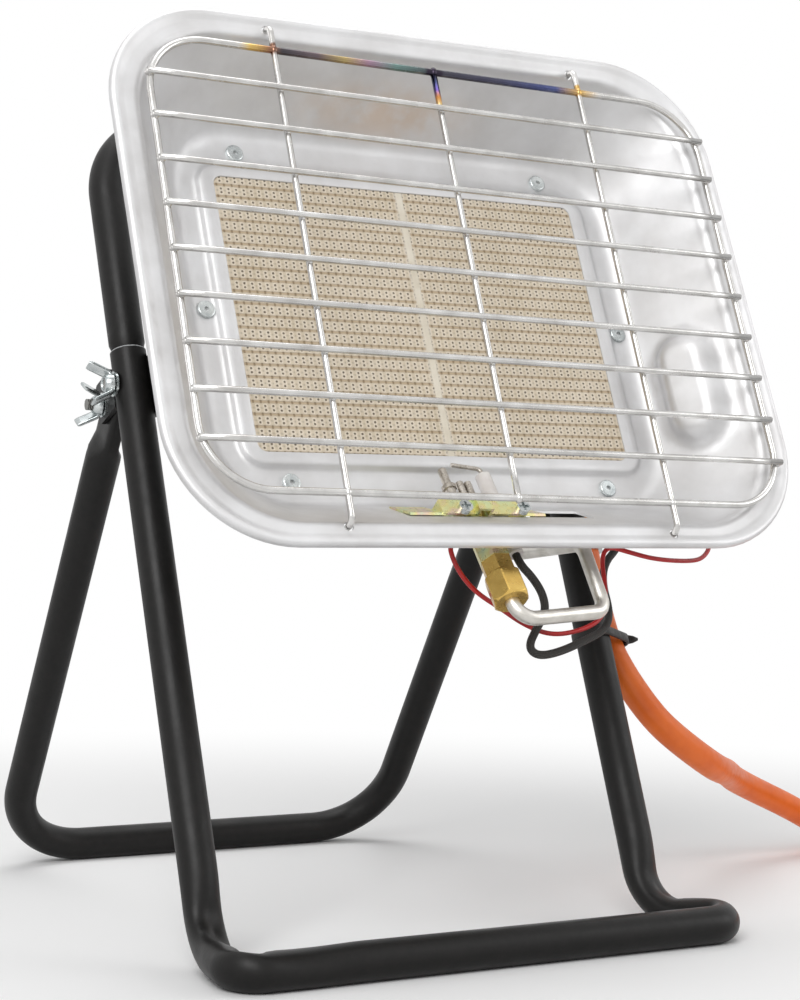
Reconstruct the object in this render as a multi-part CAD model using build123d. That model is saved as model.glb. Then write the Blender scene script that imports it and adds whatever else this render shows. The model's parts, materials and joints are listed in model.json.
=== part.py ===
from build123d import *
import math
import os

# Portable infrared gas heater: a ceramic-plaque burner head in a pressed reflector dish,
# hung between the legs of a folding tubular stand. Millimetres, +Z up, the heater faces -Y.
# The head is drawn upright in its own frame (x across, y back from the grille, z up its face)
# and is then leaned back about the tilt bolts.

# ---- stand tubes ----
tube_od = 16.0
tube_wall = 1.2
leg_half_spacing = 106.0
bar_half_spacing = 153.5
front_leg_lean = 22.3
foot_reach = 43.2
foot_bend_radius = 26.0
foot_corner_radius = 22.0
foot_flare_left = 4.0
foot_flare_right = 13.0
rear_corner_radius = 40.0
leg_joint_height = 251.5
handle_rise = 115.379
handle_corner_radius = 37.5
spigot_length = 30.0
spigot_clearance = 0.1
spigot_wall = 1.2

# ---- pivots ----
tilt_pivot_height = 237.0
fold_pivot_setback = 22.0
bolt_radius = 2.5
running_clearance = 0.05
hole_clearance = 0.1
part_gap = 0.3
tongue_thickness = 7.0
tongue_width = 18.0
tongue_straight = 18.0
tongue_blend = 9.0
tongue_edge_round = 3.0
bracket_plate = 2.0
bracket_below = 7.0
bracket_above = 12.0
bracket_behind = 7.0
bracket_corner = 2.5
washer_radius = 5.5
washer_thickness = 1.0
wing_nut_hub = 4.6
wing_nut_height = 4.2
wing_nut_draft = 0.8
wing_reach = 10.0
wing_flare = 9.4
wing_sheet = 1.8
wing_width = 6.0
wing_root = 2.6
tilt_nut_turn = 3.0
fold_nut_turn = -49.0
tilt_bolt_stand_out = -0.8
fold_bolt_stand_out = 2.5
bolt_head_radius = 5.5
bolt_head_height = 3.0
bolt_head_round = 1.4

# ---- head placement ----
head_tilt = 23.73
head_pivot_depth = 119.3
head_pivot_rise = 2.8

# ---- reflector dish ----
sheet = 1.0
overshoot = 1.0
flange_half_width = 146.0
flange_half_height = 120.5
flange_corner = 50.0
flange_depth = 5.0
rim_rise = 2.0
rim_drop = 1.2
rim_wall = 1.4
mouth_half_width = 133.0
mouth_half_height = 109.5
mouth_corner = 42.0
floor_half_width = 107.5
floor_half_height = 87.0
floor_corner = 32.0
floor_depth = 44.0
window_width = 177.5
window_height = 128.0
window_corner = 4.0
frame_rise = 2.5
frame_margin_side = 7.3
frame_margin_end = 6.0
frame_corner = 10.0
dent_radius = 11.0
dent_half_length = 19.0
dent_u = 121.0
dent_rise = -30.0
dent_depth = 25.0
slot_left = -38.0
slot_right = 78.0
slot_front = 20.5
slot_back = 34.0

# ---- burner ----
plaque_width = 90.5
plaque_height = 131.0
plaque_thickness = 12.0
joint_strip_width = 3.0
gasket_gap = 0.2
gasket_wall = 2.6
plenum_flange = 9.0
plenum_flange_thickness = 1.2
plenum_depth = 27.0
plenum_wall = 1.2
plenum_corner = 8.0
plenum_flange_end = 14.0
plenum_flange_corner = 14.0
support_lip = 7.0
support_thickness = 1.2
rivet_radius = 2.0
rivet_head_radius = 4.0
rivet_head_height = 1.4
rivet_head_round = 0.84
rivet_tail_length = 2.4
rivet_tail_flare = 0.8
rivet_column = 76.0
rivet_row = 77.0
side_rivet_column = 101.0

# ---- guard grille ----
ring_wire = 3.0
bar_wire = 2.7
ring_half_width = 133.7
ring_half_height = 100.6
ring_corner = 27.0
bar_count = 9
bar_pitch = 20.2
rod_left = -75.8
rod_right = 74.4
weld_depth = 0.3
guard_shift = 2.8
guard_drop = 0.3
guard_turn = 0.9
hook_rise = 113.0
hook_bend = 3.7
hook_grip = 3.0
hook_hole_radius = 2.0
bend_allowance = 0.01

# ---- head arms ----
arm_thickness = 2.5
arm_height = 28.0
arm_foot = 34.0
arm_screw_inset = 16.0
arm_screw_spacing = 14.0
screw_radius = 2.0
screw_head_radius = 3.8
screw_head_height = 2.2
screw_head_round = 1.0
screw_slot_width = 1.0
screw_slot_length = 4.8
screw_slot_depth = 1.0
screw_grip = 2.0

# ---- mixing tube and main jet ----
mixing_od = 20.0
mixing_wall = 1.2
mixing_rise = -30.0
mixing_inlet_u = 62.0
mixing_elbow_u = -40.0
mixing_bend = 13.0
mixing_flange_radius = 15.0
mixing_flange_thickness = 2.0
mixing_stand_off = 4.5
mixing_bend_room = 0.5
bell_radius = 12.0
bell_length = 7.0
jet_gap = 8.0
jet_nose_radius = 3.5
jet_nose_length = 8.0
jet_hex = 12.0
jet_hex_length = 10.0
jet_bore_radius = 1.0
jet_bracket_plate = 1.5
jet_bracket_height = 22.0
jet_bracket_rim = 1.0
jet_bracket_setback = 4.0

# ---- pilot group, along an axis that leans in towards the plaques ----
pilot_lean = 17.0
pilot_u = -3.0
pilot_depth = 21.5
pilot_rise = -118.8
pipe_od = 6.0
pipe_bore = 4.4
holder_hex = 12.0
holder_hex_top = 10.0
holder_neck_radius = 4.5
holder_top = 25.2
adapter_bottom = -9.0
adapter_top = -2.0
adapter_hex = 11.8
nut_hex = 14.0
nut_bottom = -22.0
nut_round = 15.82
nut_chamfer = 1.2
prong_radius = 1.7
prong_spacing = 3.8
prong_top = 40.0
prong_wall = 0.6
prong_root = 6.0
burner_block_half_width = 5.0
burner_block_half_depth = 4.0
burner_block_height = 5.0
bracket_left = -23.2
bracket_right = 16.1
bracket_bottom = 17.6
bracket_top = 25.0
bracket_front = 7.2
bracket_back = -4.0
bracket_foot_left = -38.0
bracket_foot_reach = 9.0
bracket_foot_front = 0.3
bracket_foot_back = 2.0
bracket_foot_thickness = 1.3
bracket_seat_gap = 0.1
bracket_sheet = 1.2
channel_left = -7.7
channel_right = -0.7
channel_rise = 3.0
pilot_screw_left = -12.9
pilot_screw_right = 14.3
pilot_screw_height = 19.9
pilot_screw_radius = 3.0
pilot_screw_head = 2.4
pilot_slot_width = 1.2
pilot_slot_length = 4.4
pilot_slot_depth = 1.2
probe_u = -10.6
probe_radius = 1.8
probe_bottom = 15.0
probe_body_radius = 2.4
probe_collar_low = 36.0
probe_collar_height = 2.0
probe_collar_flare = 0.6
probe_top = 47.0
electrode_u = 8.0
electrode_radius = 3.3
electrode_bottom = 2.0
electrode_top = 44.0
electrode_wire = 0.9
electrode_stand_up = 4.0
electrode_tip_reach = 13.0
electrode_tip_rise = 6.0
electrode_bend = 2.0

# ---- gas valve and its strap ----
valve_width = 24.0
valve_height = 26.0
valve_front = 104.0
valve_back = 150.0
valve_leg_gap = 3.0
valve_corner = 3.0
valve_boss_radius = 9.0
valve_boss_height = 3.0
valve_rise = -39.0
inlet_offset = 3.0
inlet_depth = 141.6
inlet_hex = 17.0
inlet_hex_length = 7.0
ferrule_radius = 8.6
ferrule_length = 9.0
crimp_depth = 0.6
crimp_width = 1.0
crimp_places = (2.5, 6.0)
main_outlet_rise = -30.0
pilot_outlet_rise = -46.0
pilot_outlet_offset = 3.0
pilot_run_depth = 83.0
strap_thickness = 1.5
strap_seat_inset = 1.0
strap_seat_width = 7.5
strap_bend_depth = 20.0
strap_trim_low = 2.0
strap_trim_high = 1.0
clip_half_depth = 4.0
clip_low = 20.0
clip_height = 4.0
clip_bite = 2.0
stem_radius = 3.0
stem_length = 14.0
stem_engagement = 6.0
knob_radius = 11.0
knob_length = 15.0
knob_gap = 1.0
knob_round = 2.0
knob_flutes = 12
knob_flute_radius = 1.8
knob_flute_offset = 0.8
stem_groove_setback = 3.0
stem_groove_width = 1.0
stem_groove_depth = 0.6
knob_travel = 3.0
igniter_depth = 64.0
igniter_radius = 8.0
igniter_top = -22.0
igniter_bottom = -62.0
igniter_collar = 2.0
igniter_collar_height = 3.0
lead_terminal_rise = -44.0
lead_terminal_length = 4.0
lead_terminal_radius = 2.6
button_radius = 5.0
button_length = 6.0
button_travel = 4.0
button_engagement = 8.0
button_round = 1.2
button_room = 1.0
switch_u = 92.0
switch_rise = -77.0
switch_size = (22.0, 14.0, 11.0)
switch_round = 1.5

# ---- leads and hose ----
wire_od = 2.0
ignition_od = 3.4
probe_lead_out = 6.0
electrode_lead_out = 5.0
switch_lead_out = 10.0
terminal_lead_out = 8.0
hose_od = 13.5
hose_bore = 7.0
hose_lead_out = 16.0
coil_outer_radius = 90.0
coil_half_turns = 4
coil_gap = 0.7
coil_end_radius = 52.0
coil_end_turn = 135.0
coil_end_lift = 9.0
end_ferrule_length = 15.0
end_crimp_shares = (0.25, 0.6)
end_crimp_width = 1.5
end_nut_hex = 18.0
end_nut_length = 12.0
end_nut_floor = 3.0
end_thread_radius = 7.6
tie_share = 0.47
tie_height = 126.0
tie_clearance = 0.3
tie_hose_clearance = 1.2
tie_thickness = 1.3
tie_width = 4.5

# Points of the red switch wire and of the ignition lead, in the head's frame, chosen by hand.
red_wire_points = [
    (-20.9, 24, -111), (-19.7, 25.5, -117.7), (-15.2, 28, -124.5), (-7.9, 31, -130.3), (2.9, 34, -135.3),
    (13.9, 36, -142.1), (26.5, 36.5, -146.9), (43, 37, -144.4), (55.1, 38, -138.5), (59.9, 39, -126.1),
    (60.7, 38.5, -111.7), (65.3, 38, -106.4), (74.8, 38, -109.1), (88.3, 38.5, -112.4), (109.2, 42, -112),
    (119.6, 45, -109.1), (128, 48, -101), (125, 52, -86),
]
ignition_points = [
    (15.7, 25.5, -125.2), (20.5, 27.5, -131.9), (20.7, 28.5, -139.4), (15.5, 29.5, -145.8),
    (10.3, 31, -153.4),
    (15.4, 33, -156.8), (27.7, 35, -154.5), (44.7, 38, -148.1), (56.8, 41, -142.8), (64.4, 46, -133.4),
    (68, 52, -118), (76, 58, -106), (88, 62, -97), (96, 64, -86), (99, 64, -73), (100, 64, -60),
    (102.5, 64, -50.5),
]
# Corners of the pilot pipe under and behind the dish, in the head's frame, and the radii of all its bends.
pilot_pipe_points = [(43, 19, -143), (43, 25, -111), (43, 81, -93)]
pilot_pipe_turn_u = 58.0
pilot_pipe_radii = [7.5, 7.0, 9.0, 12.0, 12.0, 9.0]
pilot_pipe_insertion = 6.0
pilot_pipe_lead_out = 9.0
main_pipe_bend = 9.0
# Points of the hose from the stand to the floor, in the part's frame, chosen by hand.
hose_points = [
    (120.9, -42.0, 124.9), (123.5, -50.8, 110.4), (133.5, -58.8, 92.1), (145.3, -61.1, 80.0),
    (175.2, -57.3, 61.6),
    (210.5, -20.4, 53.4), (238.0, 9.0, 44.0),
    (289.5, 19.6, 23.4), (320.0, 25.2, 7.0), (350.0, 33.5, 7.0),
]


# ---------------------------------------------------------------- helpers
def polar(angle):
    """Unit direction in the Y-Z plane: angle from straight up, positive leaning back."""
    return Vector(0, math.sin(math.radians(angle)), math.cos(math.radians(angle)))


def as_vectors(points):
    return [Vector(*point) for point in points]


def swept(path, radius):
    return sweep(Plane(origin=path @ 0, z_dir=path % 0) * Circle(radius), path=path)


def tube(points, radii, outside, bore=0.0):
    path = FilletPolyline(*as_vectors(points), radius=radii)
    body = swept(path, outside / 2)
    if bore:
        body -= swept(path, bore / 2)
    return body


def free_radii(points):
    """Largest tangent arc at each corner: 0.45 of the shorter run over tan of half the turn."""
    vectors = as_vectors(points)
    radii = []
    for before, corner, after in zip(vectors, vectors[1:], vectors[2:]):
        run_in = corner - before
        run_out = after - corner
        half_turn = math.radians(run_in.get_angle(run_out)) / 2
        radii.append(0.45 * min(run_in.length, run_out.length) / math.tan(half_turn))
    return radii


def cord(name, points, diameter, bore=0.0):
    radii = free_radii(points)
    path = FilletPolyline(*as_vectors(points), radius=radii)
    body = tube(points, radii, diameter, bore)
    section = math.pi * (diameter**2 - bore**2) / 4
    print(f"{name}: length {path.length:.1f} mm, radii {[round(radius, 1) for radius in radii]}, "
          f"volume ratio {body.volume / (section * path.length):.4f}")
    return body


def rounded(width, height, corner):
    return RectangleRounded(width, height, corner)


def grown(half_width, half_height, corner, margin=0.0):
    """Rounded rectangle from half sizes, with every side moved out by a margin."""
    return rounded(2 * (half_width + margin), 2 * (half_height + margin), corner + margin)


def at_depth(sketch, depth):
    """Stand a flat outline up in the head's own frame, at a depth behind the grille."""
    return Pos(0, depth, 0) * Rot(X=90) * sketch


def slab(sketch, front, back):
    return extrude(at_depth(sketch, front), amount=front - back)


def rod(start, end, radius):
    span = Vector(*end) - Vector(*start)
    return extrude(Plane(origin=Vector(*start), z_dir=span) * Circle(radius), amount=span.length)


def domed_rod(low, high, radius):
    return rod(low, high, radius) + Pos(*low) * Sphere(radius) + Pos(*high) * Sphere(radius)


def block(low, high):
    size = [b - a for a, b in zip(low, high)]
    middle = [(a + b) / 2 for a, b in zip(low, high)]
    return Pos(*middle) * Box(*size)


def both_sides(shape):
    return {"left": mirror(shape, about=Plane.YZ), "right": shape}


# ---------------------------------------------------------------- stand geometry
tube_radius = tube_od / 2
tube_bore = tube_od - 2 * tube_wall
leg_up = polar(front_leg_lean)
leg_back = Vector(0, leg_up.Z, -leg_up.Y)
leg_foot = Vector(0, foot_reach - bar_half_spacing, tube_radius)


def on_front_leg(height, side=0.0):
    point = leg_foot + leg_up * ((height - tube_radius) / leg_up.Z)
    return Vector(side, point.Y, point.Z)


tilt_pivot = on_front_leg(tilt_pivot_height)
fold_pivot = tilt_pivot + leg_back * fold_pivot_setback
rear_foot = Vector(0, bar_half_spacing, tube_radius)
rear_down = (rear_foot - fold_pivot).normalized()
pivot_plane = Plane(origin=(leg_half_spacing, tilt_pivot.Y, tilt_pivot.Z), x_dir=leg_back, z_dir=(1, 0, 0))

head_place = (
    Pos(0, tilt_pivot.Y, tilt_pivot.Z)
    * Rot(X=-head_tilt)
    * Pos(0, -head_pivot_depth, -head_pivot_rise)
)

# across the stand, one side: where each layer of the pivot stack starts
leg_outer = leg_half_spacing + tube_radius
leg_inner = leg_half_spacing - tube_radius
ear_outer = leg_half_spacing + tongue_thickness / 2 + part_gap
ear_inner = leg_half_spacing - tongue_thickness / 2 - part_gap
arm_outer = leg_inner - part_gap
arm_inner = arm_outer - arm_thickness
bracket_web = tube_radius + bracket_plate


def cross_rod(pivot, start, end, radius):
    return rod((start, pivot.Y, pivot.Z), (end, pivot.Y, pivot.Z), radius)


def front_tube():
    top = leg_joint_height
    points = [
        on_front_leg(top, -leg_half_spacing),
        Vector(-leg_half_spacing, leg_foot.Y, tube_radius),
        Vector(-leg_half_spacing - foot_flare_left, -bar_half_spacing, tube_radius),
        Vector(leg_half_spacing + foot_flare_right, -bar_half_spacing, tube_radius),
        Vector(leg_half_spacing, leg_foot.Y, tube_radius),
        on_front_leg(top, leg_half_spacing),
    ]
    radii = [foot_bend_radius, foot_corner_radius, foot_corner_radius, foot_bend_radius]
    body = tube([tuple(p) for p in points], radii, tube_od, tube_bore)
    for side in (-1, 1):
        body -= cross_rod(tilt_pivot, side * (leg_inner - 1), side * (leg_outer + 1),
                          bolt_radius + hole_clearance)
    return body


def carry_handle():
    base = on_front_leg(leg_joint_height)
    top = base + leg_up * handle_rise
    points = [
        (-leg_half_spacing, base.Y, base.Z),
        (-leg_half_spacing, top.Y, top.Z),
        (leg_half_spacing, top.Y, top.Z),
        (leg_half_spacing, base.Y, base.Z),
    ]
    body = tube(points, [handle_corner_radius] * 2, tube_od, tube_bore)
    spigot_od = tube_bore - spigot_clearance
    for side in (-leg_half_spacing, leg_half_spacing):
        foot = Plane(origin=(side, base.Y, base.Z), z_dir=leg_up)
        ring = Circle(spigot_od / 2) - Circle(spigot_od / 2 - spigot_wall)
        collar = Circle(tube_od / 2) - Circle(spigot_od / 2 - spigot_wall)
        body += extrude(foot.offset(-spigot_length) * ring, amount=spigot_length + 1)
        body += extrude(foot * collar, amount=2)
    for side in (-1, 1):
        body -= cross_rod(tilt_pivot, side * leg_inner, side * leg_outer, bolt_radius + hole_clearance)
    return body


def rear_tube():
    def leg_point(side, distance):
        return Vector(side, 0, 0) + fold_pivot + rear_down * distance

    tube_start = tongue_straight + tongue_blend
    points = [
        leg_point(-leg_half_spacing, tube_start),
        Vector(-leg_half_spacing, rear_foot.Y, rear_foot.Z),
        Vector(leg_half_spacing, rear_foot.Y, rear_foot.Z),
        leg_point(leg_half_spacing, tube_start),
    ]
    body = tube([tuple(p) for p in points], [rear_corner_radius] * 2, tube_od, tube_bore)
    for side in (-leg_half_spacing, leg_half_spacing):
        down = Plane(origin=leg_point(side, 0), x_dir=(1, 0, 0), z_dir=rear_down)
        flat = rounded(tongue_thickness, tongue_width, tongue_edge_round)
        body += loft([down.offset(tongue_straight) * flat, down.offset(tube_start) * Circle(tube_radius)])
        body += extrude(down * flat, amount=tongue_straight)
        end_centre = leg_point(side, 0)
        body += rod(end_centre - Vector(tongue_thickness / 2, 0, 0),
                    end_centre + Vector(tongue_thickness / 2, 0, 0), tongue_width / 2)
        body -= rod(end_centre - Vector(tube_od, 0, 0), end_centre + Vector(tube_od, 0, 0),
                    bolt_radius + running_clearance)
    return body


def pivot_bracket():
    """U-shaped clip welded behind a front leg; its ears hold the rear tube's flattened end."""
    depth = fold_pivot_setback + bracket_behind
    height = bracket_below + bracket_above
    outline = Pos((tube_radius + depth) / 2, (bracket_above - bracket_below) / 2) * rounded(
        depth - tube_radius, height, bracket_corner
    )
    place = pivot_plane * Pos(0, 0, -leg_half_spacing)
    body = None
    for start in (ear_outer, ear_inner - bracket_plate):
        ear = extrude(place * Pos(0, 0, start) * outline, amount=bracket_plate)
        body = ear if body is None else body + ear
    web = place * Pos((tube_radius + bracket_web) / 2, (bracket_above - bracket_below) / 2, leg_half_spacing)
    body += web * Box(bracket_plate, height - 2, ear_outer - ear_inner)
    body -= cross_rod(fold_pivot, leg_inner, leg_outer + 1, bolt_radius + hole_clearance)
    return body


def pivot_bolt(pivot, head_face, nut_face, stand_out):
    end = nut_face + part_gap + wing_nut_height + stand_out
    body = cross_rod(pivot, head_face, end, bolt_radius)
    head = cross_rod(pivot, head_face - bolt_head_height, head_face, bolt_head_radius)
    body += fillet(head.edges().group_by(Axis.X)[0], bolt_head_round)
    return body


def washer(pivot, face):
    return cross_rod(pivot, face, face + washer_thickness, washer_radius) - cross_rod(
        pivot, face - 1, face + washer_thickness + 1, bolt_radius + hole_clearance
    )


def wing_nut(pivot, face, turn):
    """Stamped wing nut: a conical hub and two flat wings bent outwards, turned from the line of the leg."""
    base = face + part_gap
    hub = Solid.make_cone(wing_nut_hub, wing_nut_hub - wing_nut_draft, wing_nut_height,
                          plane=Plane(origin=(base, pivot.Y, pivot.Z), z_dir=(1, 0, 0)))
    root = (wing_nut_hub, 0.0)
    tip = (wing_reach, wing_flare)
    slope = Vector(tip[0] - root[0], tip[1] - root[1]).normalized()
    inward = Vector(-slope.Y, slope.X) * wing_sheet
    outline = make_face(Polyline(
        (wing_root, 0.0), root, tip, (tip[0] + inward.X, tip[1] + inward.Y),
        (root[0] + inward.X, root[1] + inward.Y + wing_sheet), (wing_root, wing_sheet), close=True))
    body = Part() + hub
    wing_line = polar(front_leg_lean + turn)
    for direction in (wing_line, wing_line * -1):
        plane = Plane(origin=(base, pivot.Y, pivot.Z), x_dir=direction,
                      z_dir=direction.cross(Vector(1, 0, 0)))
        body += extrude(plane * outline, amount=wing_width / 2, both=True)
    bore = Plane(origin=(base, pivot.Y, pivot.Z), z_dir=(1, 0, 0)) * Circle(bolt_radius + running_clearance)
    return body - extrude(bore, amount=wing_flare, both=True)


# ---------------------------------------------------------------- head geometry
floor_back = floor_depth + sheet
window_frame_front = floor_depth - frame_rise
plaque_front = window_frame_front + sheet
plaque_back = plaque_front + plaque_thickness
plenum_back = floor_back + plenum_depth
plenum_outer_back = plenum_back + plenum_wall
frame_half_width = window_width / 2 + frame_margin_side
frame_half_height = window_height / 2 + frame_margin_end
burner_half_width = frame_half_width - sheet
burner_half_height = frame_half_height - sheet
mixing_depth = plenum_outer_back + mixing_stand_off + mixing_od / 2
arm_foot_front = plenum_outer_back
arm_foot_back = arm_foot_front + arm_thickness


def wall_inset(depth):
    """How far the dish wall stands in from its mouth at a depth."""
    share = (depth - flange_depth) / (floor_depth - flange_depth)
    return share * (mouth_half_height - floor_half_height)


def reflector():
    flange = grown(flange_half_width, flange_half_height, flange_corner)
    body = slab(flange, flange_depth, flange_depth + sheet)
    inner_rim = grown(flange_half_width, flange_half_height, flange_corner, -rim_wall)
    body += slab(flange - inner_rim, flange_depth - rim_rise, flange_depth + rim_drop)
    mouth = grown(mouth_half_width, mouth_half_height, mouth_corner)
    floor = grown(floor_half_width, floor_half_height, floor_corner)
    mouth_outer = grown(mouth_half_width, mouth_half_height, mouth_corner, sheet)
    floor_outer = grown(floor_half_width, floor_half_height, floor_corner, sheet)
    shell_outer = loft([at_depth(mouth_outer, flange_depth), at_depth(floor_outer, floor_back)])
    body += shell_outer
    body -= loft([at_depth(mouth, flange_depth), at_depth(floor, floor_depth)])
    frame = grown(frame_half_width, frame_half_height, frame_corner)
    behind_frame = grown(frame_half_width, frame_half_height, frame_corner, -sheet)
    body += slab(frame, window_frame_front, floor_back)
    body -= slab(behind_frame, plaque_front, floor_back)
    body -= slab(rounded(window_width, window_height, window_corner), window_frame_front, plaque_front)
    low = (dent_u, dent_depth, dent_rise - dent_half_length + dent_radius)
    high = (dent_u, dent_depth, dent_rise + dent_half_length - dent_radius)
    body += domed_rod(low, high, dent_radius) & shell_outer
    body -= domed_rod(low, high, dent_radius - sheet)
    body -= block((slot_left, slot_front, -mouth_half_height), (slot_right, slot_back, -floor_half_height))
    for u, v in rivet_centres():
        body -= rod((u, floor_depth - 1, v), (u, floor_back + 1, v), rivet_radius + hole_clearance)
    for u, v in hook_centres():
        body -= rod((u, flange_depth - 1, v), (u, flange_depth + sheet + 1, v), hook_hole_radius)
    return body


def rivet_centres():
    corners = [(x * rivet_column, z * rivet_row) for x in (-1, 1) for z in (-1, 1)]
    return corners + [(-side_rivet_column, 0.0), (side_rivet_column, 0.0)]


guard_place = Pos(guard_shift, 0, -guard_drop) * Rot(Y=guard_turn)


def hook_centres():
    """Where the guard's hooks pass through the flange, with the guard's slight turn."""
    places = [guard_place * Pos(u, 0, z * hook_rise) for u in (rod_left, rod_right) for z in (-1, 1)]
    return [(place.position.X, place.position.Z) for place in places]


def pop_rivets():
    group = Part()
    tail = floor_back + plenum_flange_thickness
    for u, v in rivet_centres():
        head = rod((u, floor_depth - rivet_head_height, v), (u, floor_depth, v), rivet_head_radius)
        head = fillet(head.edges().group_by(Axis.Y)[0], rivet_head_round)
        rivet = head + rod((u, floor_depth, v), (u, tail, v), rivet_radius)
        rivet += rod((u, tail, v), (u, tail + rivet_tail_length, v), rivet_radius + rivet_tail_flare)
        rivet -= rod((u, floor_depth - rivet_head_height - 1, v), (u, tail, v), rivet_radius / 2)
        group += rivet
    return group


def plaque(side):
    centre = side * (joint_strip_width + plaque_width) / 2
    return slab(Pos(centre, 0) * Rectangle(plaque_width, plaque_height), plaque_front, plaque_back)


def joint_strip():
    return slab(Rectangle(joint_strip_width, plaque_height), plaque_front, plaque_back)


def plaque_gasket():
    inner = Rectangle(2 * plaque_width + joint_strip_width + 2 * gasket_gap, plaque_height + 2 * gasket_gap)
    outer = rounded(2 * (burner_half_width - gasket_gap), 2 * (burner_half_height - gasket_gap),
                    frame_corner - sheet)
    return slab(outer - inner, plaque_front, plaque_back)


def plaque_support():
    outer = rounded(2 * (burner_half_width - gasket_gap), 2 * (burner_half_height - gasket_gap),
                    frame_corner - sheet)
    inner = rounded(2 * (burner_half_width - support_lip), 2 * (burner_half_height - support_lip),
                    window_corner)
    return slab(outer - inner, plaque_back, plaque_back + support_thickness)


def plenum_housing():
    flange = rounded(2 * (burner_half_width + plenum_flange), 2 * (burner_half_height + plenum_flange_end),
                     plenum_flange_corner)
    box = grown(burner_half_width, burner_half_height, plenum_corner, plenum_wall)
    hollow = grown(burner_half_width, burner_half_height, plenum_corner)
    body = slab(flange, floor_back, floor_back + plenum_flange_thickness)
    body += slab(box, floor_back, plenum_outer_back)
    body -= slab(hollow, floor_back, plenum_back)
    body -= rod((mixing_elbow_u, plenum_back - 1, mixing_rise),
                (mixing_elbow_u, plenum_outer_back + 1, mixing_rise),
                mixing_od / 2 - mixing_wall)
    for u, v in rivet_centres():
        body -= rod((u, floor_back, v), (u, floor_back + 3, v), rivet_radius + hole_clearance)
    for side in (-1, 1):
        for u, v in arm_screw_centres():
            body -= rod((side * u, plenum_back - 1, v), (side * u, plenum_outer_back + 1, v),
                        screw_radius + hole_clearance)
    return body


def mixing_tube():
    points = [
        (mixing_inlet_u, mixing_depth, mixing_rise),
        (mixing_elbow_u, mixing_depth, mixing_rise),
        (mixing_elbow_u, plenum_outer_back, mixing_rise),
    ]
    reach = min(mixing_bend, mixing_depth - plenum_outer_back - mixing_bend_room)
    bore = mixing_od - 2 * mixing_wall
    body = tube(points, [reach], mixing_od, bore)
    face = Plane(origin=points[0], z_dir=(1, 0, 0))
    bell = loft([face * Circle(mixing_od / 2), face.offset(bell_length) * Circle(bell_radius)])
    bell -= loft([face * Circle(bore / 2), face.offset(bell_length) * Circle(bell_radius - mixing_wall)])
    body += bell
    foot = (mixing_elbow_u, plenum_outer_back, mixing_rise)
    top = (mixing_elbow_u, plenum_outer_back + mixing_flange_thickness, mixing_rise)
    body += rod(foot, top, mixing_flange_radius) - rod(foot, top, bore / 2)
    return body


def hex_rod(plane, across_flats, length):
    return extrude(plane * RegularPolygon(across_flats / 2, 6, major_radius=False), amount=length)


jet_tip = mixing_inlet_u + bell_length + jet_gap - jet_nose_length
jet_shoulder = jet_tip + jet_nose_length
jet_end = jet_shoulder + jet_hex_length


def main_jet():
    nose = rod((jet_tip, mixing_depth, mixing_rise), (jet_shoulder, mixing_depth, mixing_rise),
               jet_nose_radius)
    plane = Plane(origin=(jet_shoulder, mixing_depth, mixing_rise), z_dir=(1, 0, 0))
    body = nose + hex_rod(plane, jet_hex, jet_hex_length)
    return body - rod((jet_tip - 1, mixing_depth, mixing_rise), (jet_end, mixing_depth, mixing_rise),
                      jet_bore_radius)


def jet_bracket():
    """Two plates on the plenum's back that hold the mixing tube's mouth and the jet in line."""
    low = mixing_rise - jet_bracket_height / 2
    high = mixing_rise + jet_bracket_height / 2
    back = mixing_depth + mixing_od / 2 + jet_bracket_rim
    tube_plate = mixing_inlet_u - jet_bracket_plate - jet_bracket_setback
    body = block((tube_plate, plenum_outer_back, low),
                 (jet_shoulder, plenum_outer_back + jet_bracket_plate, high))
    body += block((tube_plate, plenum_outer_back, low), (tube_plate + jet_bracket_plate, back, high))
    body += block((jet_shoulder - jet_bracket_plate, plenum_outer_back, low), (jet_shoulder, back, high))
    body -= rod((tube_plate - 1, mixing_depth, mixing_rise), (tube_plate + 3, mixing_depth, mixing_rise),
                mixing_od / 2 + hole_clearance)
    body -= rod((jet_shoulder - 4, mixing_depth, mixing_rise), (jet_shoulder + 1, mixing_depth, mixing_rise),
                jet_nose_radius + hole_clearance)
    return body


def main_pipe():
    points = [
        (jet_end, mixing_depth, mixing_rise),
        (inlet_u, mixing_depth, main_outlet_rise),
        (inlet_u, valve_front, main_outlet_rise),
    ]
    return tube(points, [main_pipe_bend], pipe_od, pipe_bore)


def guard_ring(depth):
    """Closed ring of the guard: four straight wires and four bent corners."""
    corner = ring_half_width - ring_corner
    side = ring_half_height - ring_corner
    body = Part()
    for z in (-ring_half_height, ring_half_height):
        body += rod((-corner, depth, z), (corner, depth, z), ring_wire / 2)
    for x in (-ring_half_width, ring_half_width):
        body += rod((x, depth, -side), (x, depth, side), ring_wire / 2)
    for x in (-1, 1):
        for z in (-1, 1):
            points = [
                (x * corner, depth, z * ring_half_height),
                (x * ring_half_width, depth, z * ring_half_height),
                (x * ring_half_width, depth, z * side),
            ]
            body += tube(points, [ring_corner - bend_allowance], ring_wire)
    return body


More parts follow.
